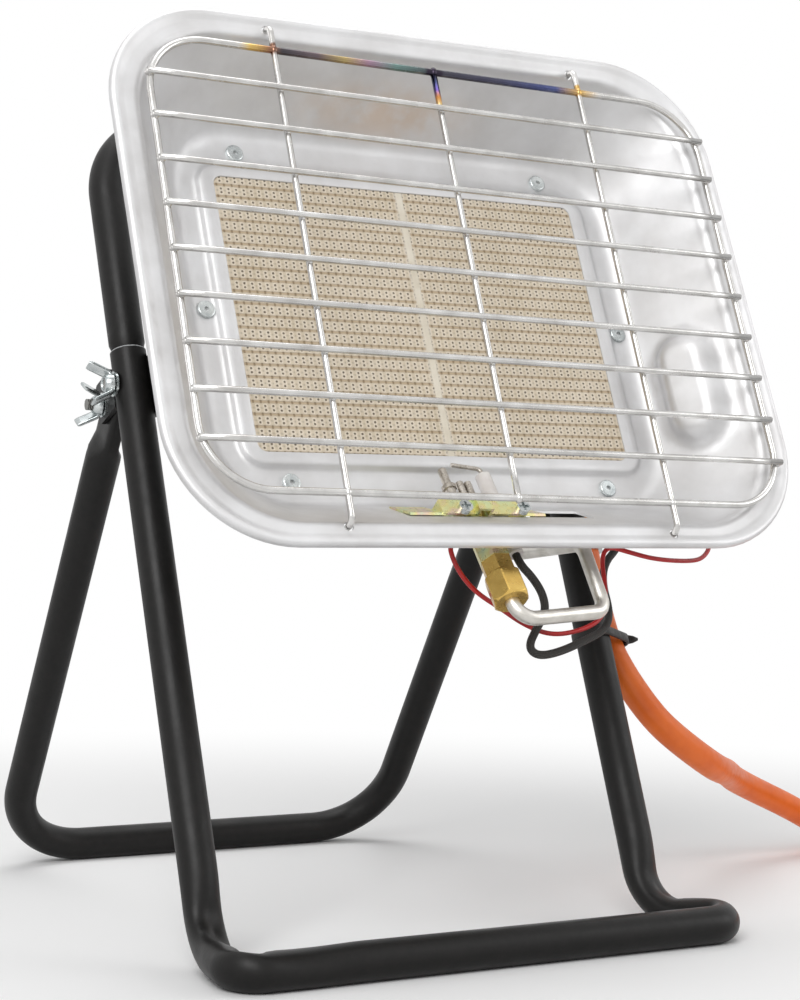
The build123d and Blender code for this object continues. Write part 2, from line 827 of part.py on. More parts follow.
def guard_grille():
    """Welded guard: a ring, cross bars in front of it, a middle upright and two uprights with hooked ends."""
    ring_depth = (ring_wire - weld_depth) / 2
    bar_depth = ring_depth - (ring_wire + bar_wire) / 2 + weld_depth
    body = guard_ring(ring_depth)
    reach = ring_half_width + ring_wire / 2
    for index in range(bar_count):
        rise = (index - (bar_count - 1) / 2) * bar_pitch
        body += rod((-reach, bar_depth, rise), (reach, bar_depth, rise), bar_wire / 2)
    body += rod((0, ring_depth, -ring_half_height), (0, ring_depth, ring_half_height), bar_wire / 2)
    hook_end = flange_depth + sheet + hook_grip
    for u in (rod_left, rod_right):
        points = [(u, hook_end, -hook_rise), (u, ring_depth, -hook_rise), (u, ring_depth, hook_rise),
                  (u, hook_end, hook_rise)]
        body += tube(points, [hook_bend] * 2, bar_wire)
    return guard_place * body


def arm_screw_centres():
    low = head_pivot_rise - arm_screw_spacing / 2
    return [(arm_inner - arm_screw_inset, low), (arm_inner - arm_screw_inset, low + arm_screw_spacing)]


def head_arm():
    low = head_pivot_rise - arm_height / 2
    high = head_pivot_rise + arm_height / 2
    body = block((arm_inner, arm_foot_front, low), (arm_outer, head_pivot_depth, high))
    body += rod((arm_inner, head_pivot_depth, head_pivot_rise),
                (arm_outer, head_pivot_depth, head_pivot_rise), arm_height / 2)
    body += block((arm_inner - arm_foot, arm_foot_front, low), (arm_inner, arm_foot_back, high))
    body -= rod((arm_inner - 1, head_pivot_depth, head_pivot_rise),
                (arm_outer + 1, head_pivot_depth, head_pivot_rise),
                bolt_radius + running_clearance)
    for u, v in arm_screw_centres():
        body -= rod((u, arm_foot_front - 1, v), (u, arm_foot_back + 1, v), screw_radius + hole_clearance)
    return body


def arm_screws():
    group = Part()
    slot_floor = arm_foot_back + screw_head_height - screw_slot_depth
    slot_top = arm_foot_back + screw_head_height + overshoot
    wide, long = screw_slot_width / 2, screw_slot_length / 2
    for side in (-1, 1):
        for u, v in arm_screw_centres():
            head = rod((side * u, arm_foot_back, v), (side * u, arm_foot_back + screw_head_height, v),
                       screw_head_radius)
            head = fillet(head.edges().group_by(Axis.Y)[-1], screw_head_round)
            head -= block((side * u - wide, slot_floor, v - long), (side * u + wide, slot_top, v + long))
            head -= block((side * u - long, slot_floor, v - wide), (side * u + long, slot_top, v + wide))
            group += head + rod((side * u, plenum_back - screw_grip, v), (side * u, arm_foot_back, v),
                                screw_radius)
    return group


# ---------------------------------------------------------------- pilot group
pilot_axis = polar(pilot_lean)
pilot_front = Vector(0, -pilot_axis.Z, pilot_axis.Y)
pilot_origin = Vector(0, pilot_depth, pilot_rise)


def pilot_point(u, along, front=0.0):
    return Vector(u, 0, 0) + pilot_origin + pilot_axis * along + pilot_front * front


def pilot_rod(u, low, high, radius, front=0.0):
    return rod(pilot_point(u, low, front), pilot_point(u, high, front), radius)


def pilot_plane(u, along):
    return Plane(origin=pilot_point(u, along), x_dir=(1, 0, 0), z_dir=pilot_axis)


def pilot_block(u_low, u_high, along_low, along_high, front_low, front_high):
    sketch = Pos((u_low + u_high) / 2, -(front_low + front_high) / 2) * Rectangle(u_high - u_low,
                                                                                  front_high - front_low)
    plane = Plane(origin=pilot_point(0, along_low), x_dir=(1, 0, 0), z_dir=pilot_axis)
    return extrude(plane * sketch, amount=along_high - along_low)


def jet_holder():
    body = hex_rod(pilot_plane(pilot_u, adapter_top), holder_hex, holder_hex_top - adapter_top)
    body += pilot_rod(pilot_u, holder_hex_top, holder_top, holder_neck_radius)
    return body - pilot_rod(pilot_u, adapter_top - 1, holder_top + 1, pipe_bore / 2)


def brass_adapter():
    body = hex_rod(pilot_plane(pilot_u, adapter_bottom), adapter_hex, adapter_top - adapter_bottom)
    return body - pilot_rod(pilot_u, adapter_bottom - 1, adapter_top + 1, pipe_bore / 2)


def union_nut():
    body = hex_rod(pilot_plane(pilot_u, nut_bottom), nut_hex, adapter_bottom - nut_bottom)
    cone = pilot_rod(pilot_u, nut_bottom, adapter_bottom, nut_round / 2)
    cone = chamfer(cone.edges().filter_by(GeomType.CIRCLE), nut_chamfer)
    body = body & cone
    return body - pilot_rod(pilot_u, nut_bottom - 1, adapter_bottom + 1, pipe_od / 2 + hole_clearance)


def pilot_burner():
    """Block on the jet holder with two hollow prongs that play the pilot flame on the plaques."""
    half = burner_block_half_width
    body = pilot_block(pilot_u - half, pilot_u + half, holder_top, holder_top + burner_block_height,
                       -burner_block_half_depth, burner_block_half_depth)
    for offset in (-prong_spacing / 2, prong_spacing / 2):
        body += pilot_rod(pilot_u + offset, holder_top, prong_top, prong_radius)
        body -= pilot_rod(pilot_u + offset, holder_top + prong_root, prong_top + overshoot,
                          prong_radius - prong_wall)
    return body


def bracket_face():
    """The bracket's face with its raised channel, its cheeks and its top plate."""
    face_back = bracket_front - bracket_sheet
    body = pilot_block(bracket_left, bracket_right, bracket_bottom, bracket_top, face_back, bracket_front)
    for left, right in ((bracket_left, bracket_left + bracket_sheet),
                        (bracket_right - bracket_sheet, bracket_right)):
        body += pilot_block(left, right, bracket_bottom, bracket_top, bracket_back, bracket_front)
    body += pilot_block(channel_left, channel_right, bracket_bottom, bracket_top, face_back,
                        bracket_front + channel_rise)
    body -= pilot_block(channel_left + bracket_sheet, channel_right - bracket_sheet,
                        bracket_bottom - overshoot,
                        bracket_top + overshoot, face_back - overshoot,
                        bracket_front + channel_rise - bracket_sheet)
    body += pilot_block(bracket_left, bracket_right, bracket_top - bracket_sheet, bracket_top, bracket_back,
                        face_back)
    return body


def bracket_foot(left, right):
    """A foot that lies on the dish's lower wall in front of and behind the gas slot."""
    outline = []
    for depth in (slot_front - bracket_foot_front, slot_back + bracket_foot_back):
        outline.append((depth, wall_inset(depth) - mouth_half_height + bracket_seat_gap))
    outline += [(depth, rise + bracket_foot_thickness) for depth, rise in reversed(outline)]
    face = make_face(Polyline(*outline, close=True))
    return extrude(Plane(origin=(left, 0, 0), x_dir=(0, 1, 0), z_dir=(1, 0, 0)) * face, amount=right - left)


def pilot_bracket():
    """Bent zinc-plated sheet over the gas slot that holds the pilot group."""
    body = bracket_face()
    holes = ((pilot_u, holder_neck_radius), (probe_u, probe_body_radius), (electrode_u, electrode_radius))
    for u, radius in holes:
        body -= pilot_rod(u, bracket_top - bracket_sheet - overshoot, bracket_top + overshoot,
                          radius + hole_clearance)
    body += bracket_foot(bracket_foot_left, bracket_left + bracket_sheet)
    return body + bracket_foot(bracket_right - bracket_sheet, bracket_right + bracket_foot_reach)


def pilot_screws():
    group = Part()
    slot_floor = bracket_front + pilot_screw_head - pilot_slot_depth
    slot_top = bracket_front + pilot_screw_head + overshoot
    wide, long = pilot_slot_width / 2, pilot_slot_length / 2
    for u in (pilot_screw_left, pilot_screw_right):
        along = pilot_screw_height
        head = rod(pilot_point(u, along, bracket_front),
                   pilot_point(u, along, bracket_front + pilot_screw_head),
                   pilot_screw_radius)
        head -= pilot_block(u - wide, u + wide, along - long, along + long, slot_floor, slot_top)
        head -= pilot_block(u - long, u + long, along - wide, along + wide, slot_floor, slot_top)
        group += head
    return group


def flame_probe():
    collar_top = probe_collar_low + probe_collar_height
    body = pilot_rod(probe_u, probe_bottom, probe_collar_low, probe_body_radius)
    body += pilot_rod(probe_u, probe_collar_low, collar_top, probe_body_radius + probe_collar_flare)
    return body + pilot_rod(probe_u, collar_top, probe_top, probe_radius)


def electrode_sleeve():
    body = pilot_rod(electrode_u, electrode_bottom, electrode_top, electrode_radius)
    return body - pilot_rod(electrode_u, electrode_bottom - overshoot, electrode_top + overshoot,
                            electrode_wire + hole_clearance)


def spark_electrode():
    points = [
        tuple(pilot_point(electrode_u, electrode_bottom)),
        tuple(pilot_point(electrode_u, electrode_top + electrode_stand_up)),
        tuple(pilot_point(electrode_u - electrode_tip_reach, electrode_top + electrode_tip_rise)),
    ]
    return tube(points, [electrode_bend], 2 * electrode_wire)


def pilot_pipe():
    points = [
        tuple(pilot_point(pilot_u, nut_bottom + pilot_pipe_insertion)),
        tuple(pilot_point(pilot_u, nut_bottom - pilot_pipe_lead_out)),
        *pilot_pipe_points,
        (pilot_pipe_turn_u, pilot_run_depth, pilot_outlet_rise),
        (pilot_outlet_u, pilot_run_depth, pilot_outlet_rise),
        (pilot_outlet_u, valve_front, pilot_outlet_rise),
    ]
    return tube(points, pilot_pipe_radii, pipe_od, pipe_bore)


# ---------------------------------------------------------------- valve, igniter, switch
valve_u = leg_outer + valve_leg_gap + valve_width / 2
inlet_u = valve_u - inlet_offset
pilot_outlet_u = valve_u + pilot_outlet_offset
igniter_u = valve_u
valve_bottom = valve_rise - valve_height / 2
valve_top = valve_rise + valve_height / 2
strap_inner = valve_u + valve_width / 2
strap_outer = strap_inner + strap_thickness
strap_seat_inner = mouth_half_width + sheet + strap_seat_inset
strap_seat_outer = strap_seat_inner + strap_seat_width


def gas_valve():
    body = block((valve_u - valve_width / 2, valve_front, valve_bottom), (strap_inner, valve_back, valve_top))
    body = fillet(body.edges().filter_by(Axis.Y), valve_corner)
    boss_top = valve_back + valve_boss_height
    body += rod((valve_u, valve_back, valve_rise), (valve_u, boss_top, valve_rise), valve_boss_radius)
    return body - rod((valve_u, valve_back - stem_engagement - knob_travel - overshoot, valve_rise),
                      (valve_u, boss_top + overshoot, valve_rise), stem_radius + running_clearance)


def valve_stem():
    body = rod((valve_u, valve_back - stem_engagement, valve_rise),
               (valve_u, valve_back + stem_length, valve_rise), stem_radius)
    groove = valve_back + stem_length - stem_groove_setback
    low, high = (valve_u, groove, valve_rise), (valve_u, groove + stem_groove_width, valve_rise)
    return body - (rod(low, high, stem_radius + overshoot) - rod(low, high, stem_radius - stem_groove_depth))


def control_knob():
    """Fluted knob pushed on to the valve's stem."""
    face = valve_back + valve_boss_height + knob_travel + knob_gap
    body = rod((valve_u, face, valve_rise), (valve_u, face + knob_length, valve_rise), knob_radius)
    body = fillet(body.edges().group_by(Axis.Y)[-1], knob_round)
    ring = knob_radius + knob_flute_offset
    for index in range(knob_flutes):
        angle = 2 * math.pi * index / knob_flutes
        u = valve_u + ring * math.cos(angle)
        v = valve_rise + ring * math.sin(angle)
        body -= rod((u, face - overshoot, v), (u, face + knob_length + overshoot, v), knob_flute_radius)
    return body - rod((valve_u, face - overshoot, valve_rise),
                      (valve_u, valve_back + stem_length + part_gap, valve_rise),
                      stem_radius + running_clearance)


def inlet_fitting():
    plane = Plane(origin=(inlet_u, inlet_depth, valve_bottom), z_dir=(0, 0, -1))
    body = hex_rod(plane, inlet_hex, inlet_hex_length)
    return body - rod((inlet_u, inlet_depth, valve_bottom + 1), (inlet_u, inlet_depth, valve_bottom - 20),
                      hose_bore / 2)


def inlet_ferrule():
    top = valve_bottom - inlet_hex_length
    body = rod((inlet_u, inlet_depth, top), (inlet_u, inlet_depth, top - ferrule_length), ferrule_radius)
    for place in crimp_places:
        low, high = (inlet_u, inlet_depth, top - place), (inlet_u, inlet_depth, top - place - crimp_width)
        body -= rod(low, high, ferrule_radius + overshoot) - rod(low, high, ferrule_radius - crimp_depth)
    return body - rod((inlet_u, inlet_depth, top + overshoot),
                      (inlet_u, inlet_depth, top - ferrule_length - overshoot),
                      hose_bore / 2)


def valve_strap():
    """Steel strap spot-welded behind the flange that carries the valve and the igniter."""
    low = valve_bottom + strap_trim_low
    high = valve_top - strap_trim_high
    front = flange_depth + sheet
    bend_back = strap_bend_depth + strap_thickness
    body = block((strap_inner, strap_bend_depth, low), (strap_outer, valve_back, high))
    body += block((strap_seat_outer - strap_thickness, front, low), (strap_seat_outer, bend_back, high))
    body += block((min(strap_inner, strap_seat_outer - strap_thickness), strap_bend_depth, low),
                  (max(strap_outer, strap_seat_outer), bend_back, high))
    body += block((strap_seat_inner, front, low), (strap_seat_outer, front + strap_thickness, high))
    clip_u = igniter_u + igniter_radius
    clip_bottom = igniter_bottom + clip_low
    clip = block((clip_u - clip_bite, igniter_depth - clip_half_depth, clip_bottom),
                 (strap_inner, igniter_depth + clip_half_depth, clip_bottom + clip_height))
    return body + clip - igniter_solid(hole_clearance)


lead_terminal_u = igniter_u - igniter_radius - lead_terminal_length


def igniter_solid(extra=0.0):
    return rod((igniter_u, igniter_depth, igniter_bottom), (igniter_u, igniter_depth, igniter_top),
               igniter_radius + extra)


def spark_igniter():
    body = igniter_solid()
    body += rod((igniter_u, igniter_depth, igniter_bottom),
                (igniter_u, igniter_depth, igniter_bottom + igniter_collar_height),
                igniter_radius + igniter_collar)
    body += rod((lead_terminal_u, igniter_depth, lead_terminal_rise),
                (igniter_u, igniter_depth, lead_terminal_rise),
                lead_terminal_radius)
    deep = igniter_bottom + button_engagement + button_travel + button_room
    return body - rod((igniter_u, igniter_depth, igniter_bottom - overshoot),
                      (igniter_u, igniter_depth, deep),
                      button_radius + running_clearance)


def igniter_button():
    body = rod((igniter_u, igniter_depth, igniter_bottom - button_length),
               (igniter_u, igniter_depth, igniter_bottom + button_engagement), button_radius)
    return fillet(body.edges().group_by(Axis.Z)[0], button_round)


def tilt_switch():
    wide, deep, tall = switch_size
    front = floor_back + plenum_flange_thickness
    low = (switch_u - wide / 2, front, switch_rise - tall / 2)
    high = (switch_u + wide / 2, front + deep, switch_rise + tall / 2)
    body = block(low, high)
    return fillet(body.edges().group_by(Axis.Y)[-1], switch_round)


def switch_wire():
    start = pilot_point(probe_u, probe_bottom)
    wide, deep, tall = switch_size
    socket = (switch_u + wide / 2, floor_back + plenum_flange_thickness + deep / 2, switch_rise)
    leave = (switch_u + wide / 2 + switch_lead_out, socket[1], switch_rise)
    points = [tuple(start), tuple(start - pilot_axis * probe_lead_out)] + red_wire_points + [leave, socket]
    return cord("switch_wire", points, wire_od)


def ignition_lead():
    start = pilot_point(electrode_u, electrode_bottom)
    socket = (lead_terminal_u, igniter_depth, lead_terminal_rise)
    leave = (lead_terminal_u - terminal_lead_out, igniter_depth, lead_terminal_rise)
    points = [tuple(start), tuple(start - pilot_axis * electrode_lead_out)] + ignition_points + [leave,
                                                                                                 socket]
    return cord("ignition_lead", points, ignition_od)


# ---------------------------------------------------------------- hose
def hose_exit(origin_place):
    place = origin_place * head_place * Pos(inlet_u, inlet_depth,
                                            valve_bottom - inlet_hex_length - ferrule_length)
    return place.position


def hose_route(origin_place):
    start = hose_exit(origin_place)
    leave = start - polar(head_tilt) * hose_lead_out
    tie_start = leave + (Vector(*hose_points[0]) - leave) * tie_share
    upper = [tuple(start), tuple(leave), tuple(tie_start)]
    return upper, [tuple(tie_start)] + hose_points


def put_away_coil():
    """Flat inward spiral of half turns, each a step tighter, then an arc that lifts the end fitting."""
    start = Vector(*hose_points[-1])
    heading = (start - Vector(*hose_points[-2])).normalized()
    point = start + heading * hose_od
    edges = [Line(start, point)]
    radius = coil_outer_radius
    for _ in range(coil_half_turns):
        inward = heading.cross(Vector(0, 0, 1))
        centre = point + inward * radius
        end = centre + inward * radius
        edges.append(ThreePointArc(point, centre + heading * radius, end))
        point = end
        heading = heading * -1
        radius -= (hose_od + coil_gap) / 2
    inward = heading.cross(Vector(0, 0, 1)) * math.cos(math.radians(coil_end_lift))
    inward += Vector(0, 0, 1) * math.sin(math.radians(coil_end_lift))
    centre = point + inward * coil_end_radius

    def on_arc(angle):
        turn = math.radians(angle)
        return centre - inward * (coil_end_radius * math.cos(turn)) + heading * (coil_end_radius
                                                                                 * math.sin(turn))

    end = on_arc(coil_end_turn)
    edges.append(ThreePointArc(point, on_arc(coil_end_turn / 2), end))
    turn = math.radians(coil_end_turn)
    leave = inward * math.sin(turn) + heading * math.cos(turn)
    edges.append(Line(end, end + leave * hose_od))
    return Wire(edges), end + leave * hose_od, leave


def self_gap(path, diameter, count=900):
    """Least gap between stretches of the path that lie more than three diameters apart along it."""
    points = [path @ (index / count) for index in range(count + 1)]
    skip = int(3 * diameter / path.length * count) + 1
    least = min(
        (points[a] - points[b]).length for a in range(0, count + 1, 3) for b in range(a + skip, count + 1, 3)
    )
    return least - diameter


def crimped_ferrule(start, direction):
    body = extrude(Plane(origin=start, z_dir=direction) * Circle(ferrule_radius), amount=end_ferrule_length)
    for share in end_crimp_shares:
        groove = Plane(origin=start + direction * (end_ferrule_length * share), z_dir=direction)
        ring = Circle(ferrule_radius + overshoot) - Circle(ferrule_radius - crimp_depth)
        body -= extrude(groove * ring, amount=end_crimp_width)
    return body - extrude(Plane(origin=start, z_dir=direction) * Circle(hose_bore / 2),
                          amount=end_ferrule_length)


def end_nut(start, direction):
    plane = Plane(origin=start, x_dir=direction.cross(Vector(0, 0, 1)), z_dir=direction)
    body = hex_rod(plane, end_nut_hex, end_nut_length)
    body -= extrude(plane * Circle(hose_bore / 2), amount=end_nut_length)
    return body - extrude(plane.offset(end_nut_floor) * Circle(end_thread_radius), amount=end_nut_length)


def hose_tie(path):
    """Plastic tie round the right front leg and the hose."""
    leg_place = origin_place * Pos(*on_front_leg(tie_height, leg_half_spacing))
    plane = Plane(origin=leg_place.position, x_dir=(1, 0, 0), z_dir=leg_up)
    samples = [path @ (index / 200) for index in range(201)]
    crossing = min(samples, key=lambda point: abs((point - plane.origin).dot(leg_up)))
    local = plane.to_local_coords(crossing)
    across = Vector(local.X, local.Y, 0)
    angle = math.degrees(math.atan2(local.Y, local.X))

    def loop(leg_radius, hose_radius):
        """Straight-sided loop: a circle at the leg, a circle at the hose and the flat band between."""
        band = Polyline((0, leg_radius), (across.length, hose_radius), (across.length, -hose_radius),
                        (0, -leg_radius),
                        close=True)
        return Rot(Z=angle) * (Circle(leg_radius) + Pos(across.length, 0) * Circle(hose_radius)
                               + make_face(band))

    leg_clear = tube_radius + tie_clearance
    hose_clear = hose_od / 2 + tie_hose_clearance
    outer = extrude(plane * loop(leg_clear + tie_thickness, hose_clear + tie_thickness),
                    amount=tie_width / 2, both=True)
    return outer - extrude(plane * loop(leg_clear, hose_clear), amount=tie_width, both=True)


def build_stand():
    nodes = {"front_tube": front_tube(), "carry_handle": carry_handle(), "rear_tube": rear_tube()}
    tilt_nut_face = leg_outer + washer_thickness
    fold_nut_face = ear_outer + bracket_plate + washer_thickness
    bolts = {
        "tilt_bolt": pivot_bolt(tilt_pivot, arm_inner - part_gap, tilt_nut_face, tilt_bolt_stand_out),
        "fold_bolt": pivot_bolt(fold_pivot, ear_inner - bracket_plate, fold_nut_face, fold_bolt_stand_out),
        "tilt_wing_nut": wing_nut(tilt_pivot, tilt_nut_face, tilt_nut_turn),
        "fold_wing_nut": wing_nut(fold_pivot, fold_nut_face, fold_nut_turn),
        "pivot_bracket": pivot_bracket(),
    }
    for name, shape in bolts.items():
        for side, placed in both_sides(shape).items():
            nodes[f"{name}_{side}"] = placed
    washers = Part()
    for shape in (washer(tilt_pivot, leg_outer), washer(fold_pivot, ear_outer + bracket_plate)):
        for placed in both_sides(shape).values():
            washers += placed
    nodes["pivot_washers"] = washers
    return nodes


def build_head():
    arms = both_sides(head_arm())
    nodes = {
        "reflector": reflector(), "pop_rivets": pop_rivets(), "plaque_left": plaque(-1),
        "plaque_right": plaque(1),
        "plaque_joint_strip": joint_strip(), "plaque_gasket": plaque_gasket(),
        "plaque_support": plaque_support(),
        "plenum_housing": plenum_housing(), "mixing_tube": mixing_tube(), "main_jet": main_jet(),
        "jet_bracket": jet_bracket(), "main_gas_pipe": main_pipe(), "guard_grille": guard_grille(),
        "head_arm_left": arms["left"], "head_arm_right": arms["right"], "arm_screws": arm_screws(),
        "pilot_jet_holder": jet_holder(), "brass_adapter": brass_adapter(), "pilot_union_nut": union_nut(),
        "pilot_burner": pilot_burner(), "pilot_bracket": pilot_bracket(), "pilot_screws": pilot_screws(),
        "flame_probe": flame_probe(), "electrode_sleeve": electrode_sleeve(),
        "spark_electrode": spark_electrode(),
        "pilot_gas_pipe": pilot_pipe(), "gas_valve": gas_valve(), "valve_stem": valve_stem(),
        "control_knob": control_knob(), "inlet_fitting": inlet_fitting(), "inlet_ferrule": inlet_ferrule(),
        "valve_strap": valve_strap(), "spark_igniter": spark_igniter(), "igniter_button": igniter_button(),
        "tilt_switch": tilt_switch(), "switch_wire": switch_wire(), "ignition_lead": ignition_lead(),
    }
    return {name: head_place * shape for name, shape in nodes.items()}


def build_hose():
    upper, free = hose_route(origin_place)
    free_path = FilletPolyline(*as_vectors(free), radius=free_radii(free))
    coil_path, end, direction = put_away_coil()
    coil = swept(coil_path, hose_od / 2) - swept(coil_path, hose_bore / 2)
    section = math.pi * (hose_od**2 - hose_bore**2) / 4
    ratio = coil.volume / (section * coil_path.length)
    print(f"hose_coil: length {coil_path.length:.1f} mm, volume ratio {ratio:.4f}, "
          f"gap to itself {self_gap(coil_path, hose_od):.2f} mm")
    nut_start = end + direction * end_ferrule_length
    return {
        "hose_upper": cord("hose_upper", upper, hose_od, hose_bore),
        "gas_hose": cord("gas_hose", free, hose_od, hose_bore),
        "hose_coil": coil,
        "hose_end_ferrule": crimped_ferrule(end, direction),
        "hose_end_nut": end_nut(nut_start, direction),
        "hose_tie": hose_tie(free_path),
    }


heater = build_stand() | build_head()
low = min(shape.bounding_box().min.Y for shape in heater.values())
high = max(shape.bounding_box().max.Y for shape in heater.values())
origin_place = Pos(0, -(low + high) / 2, 0)
print(f"origin moved back by {-(low + high) / 2:.3f} mm")
nodes = {name: origin_place * shape for name, shape in heater.items()} | build_hose()

os.makedirs("parts", exist_ok=True)
for name, shape in nodes.items():
    export_step(shape, f"parts/{name}.step")
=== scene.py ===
"""Looks for a portable infrared gas heater on a folding tubular stand.

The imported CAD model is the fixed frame. This script gives every carried-over node a
procedural material and replaces the pressed dish, the wire guard, the bent tubes, the
wing nuts, the leads, the tie and the hose with detailed pieces. Pieces are shaped in
millimetres, the head's in its own axes (across, back from the guard, up the face) and the
stand's in the part's frame, and are put in place in metres at the end.
"""

from __future__ import annotations

import json
import logging
import math
from dataclasses import dataclass, field
from enum import Enum
from typing import Sequence

import bmesh
import bpy
from bmesh.types import BMEdge, BMesh, BMVert
from bpy.types import Material, Mesh, NodeSocket, Object
from mathutils import Matrix, Vector

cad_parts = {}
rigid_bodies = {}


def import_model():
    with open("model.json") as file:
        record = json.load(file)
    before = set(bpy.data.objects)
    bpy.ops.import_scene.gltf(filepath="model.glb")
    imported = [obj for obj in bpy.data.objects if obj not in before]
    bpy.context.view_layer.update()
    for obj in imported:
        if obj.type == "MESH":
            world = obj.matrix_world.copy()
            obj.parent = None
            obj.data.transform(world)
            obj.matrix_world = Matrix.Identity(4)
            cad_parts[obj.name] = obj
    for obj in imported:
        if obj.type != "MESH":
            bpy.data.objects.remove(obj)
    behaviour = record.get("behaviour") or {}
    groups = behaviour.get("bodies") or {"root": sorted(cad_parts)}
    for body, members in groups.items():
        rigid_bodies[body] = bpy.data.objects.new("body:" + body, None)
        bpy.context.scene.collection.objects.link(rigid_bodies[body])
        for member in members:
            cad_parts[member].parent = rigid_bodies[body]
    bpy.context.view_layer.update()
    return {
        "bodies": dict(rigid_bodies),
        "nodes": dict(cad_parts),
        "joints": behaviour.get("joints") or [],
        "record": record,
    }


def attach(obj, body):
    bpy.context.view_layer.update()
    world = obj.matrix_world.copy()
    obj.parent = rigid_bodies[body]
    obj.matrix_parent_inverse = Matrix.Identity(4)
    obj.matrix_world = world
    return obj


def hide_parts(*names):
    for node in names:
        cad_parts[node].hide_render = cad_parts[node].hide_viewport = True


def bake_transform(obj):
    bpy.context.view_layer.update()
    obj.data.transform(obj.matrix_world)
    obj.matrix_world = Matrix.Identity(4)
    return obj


log = logging.getLogger("heater")
MM = 0.001

# ---------------------------------------------------------------- places taken from the CAD model
TILT_PIVOT = Vector((0.0, -8.770, 237.0))
FOLD_PIVOT = Vector((0.0, 11.584, 228.652))
HEAD_TILT_DEG = 23.73
HEAD_PIVOT_DEPTH = 119.3
HEAD_PIVOT_RISE = 2.8
LEG_LEAN_DEG = 22.3
LEG_HALF_SPACING = 106.0
TUBE_RADIUS = 8.0


class Body(str, Enum):
    """Names of the CAD bodies that pieces ride on."""

    STAND = "front_frame"
    REAR = "rear_frame"
    HEAD = "head"


class Slot(str, Enum):
    """The record's material slots."""

    BLACK_STEEL = "black_steel"
    REFLECTOR = "reflector_steel"
    WIRE = "grille_wire"
    PLAQUE = "plaque_ceramic"
    JOINT = "joint_ceramic"
    ZINC = "zinc_hardware"
    YELLOW_ZINC = "yellow_zinc"
    GALVANISED = "galvanised_steel"
    BRASS = "brass"
    ALUMINIUM = "aluminium_pipe"
    PLASTIC = "black_plastic"
    GLAZED = "white_ceramic"
    RED = "red_insulation"
    SLEEVE = "dark_insulation"
    ORANGE = "orange_rubber"
    STAINLESS = "stainless"


def lean(angle_deg: float) -> Vector:
    """Unit direction in the Y-Z plane, at an angle from straight up, positive leaning back."""
    angle = math.radians(angle_deg)
    return Vector((0.0, math.sin(angle), math.cos(angle)))


RIGHT = Vector((1.0, 0.0, 0.0))
UP = Vector((0.0, 0.0, 1.0))
HEAD_TURN = Matrix.Rotation(-math.radians(HEAD_TILT_DEG), 3, "X")
HEAD_ORIGIN = TILT_PIVOT + HEAD_TURN @ Vector((0.0, -HEAD_PIVOT_DEPTH, -HEAD_PIVOT_RISE))
HEAD_PLACE = Matrix.Translation(HEAD_ORIGIN * MM) @ HEAD_TURN.to_4x4() @ Matrix.Scale(MM, 4)
STAND_PLACE = Matrix.Scale(MM, 4)
LEG_UP = lean(LEG_LEAN_DEG)


# ---------------------------------------------------------------- finishes
SMOOTH = {"interpolation_type": "SMOOTHSTEP"}
# A Mix node's number and vector inputs come before its two colours.
TO_COLOURS = (None,) * 5
# Most of a noise's values lie in this span, which is stretched over a finish's range of gloss.
NOISE_SPAN = (0.3, 0.7)
# Detail and roughness of a noise: clouds for patches of tone, drift for handled gloss, grit for fine relief.
CLOUDS = (4.0, 0.55)
DRIFT = (3.0, 0.55)
GRIT = (2.0, 0.55)


def linear(code: str) -> tuple[float, float, float, float]:
    """Turn an sRGB colour to the linear one that a shader takes.

    Args:
        code: the colour, as #rrggbb.

    Returns:
        Linear red, green and blue, and an alpha of 1.
    """
    channels = [int(code[i : i + 2], 16) / 255 for i in (1, 3, 5)]
    curved = [c / 12.92 if c <= 0.04045 else ((c + 0.055) / 1.055) ** 2.4 for c in channels]
    return (*curved, 1.0)


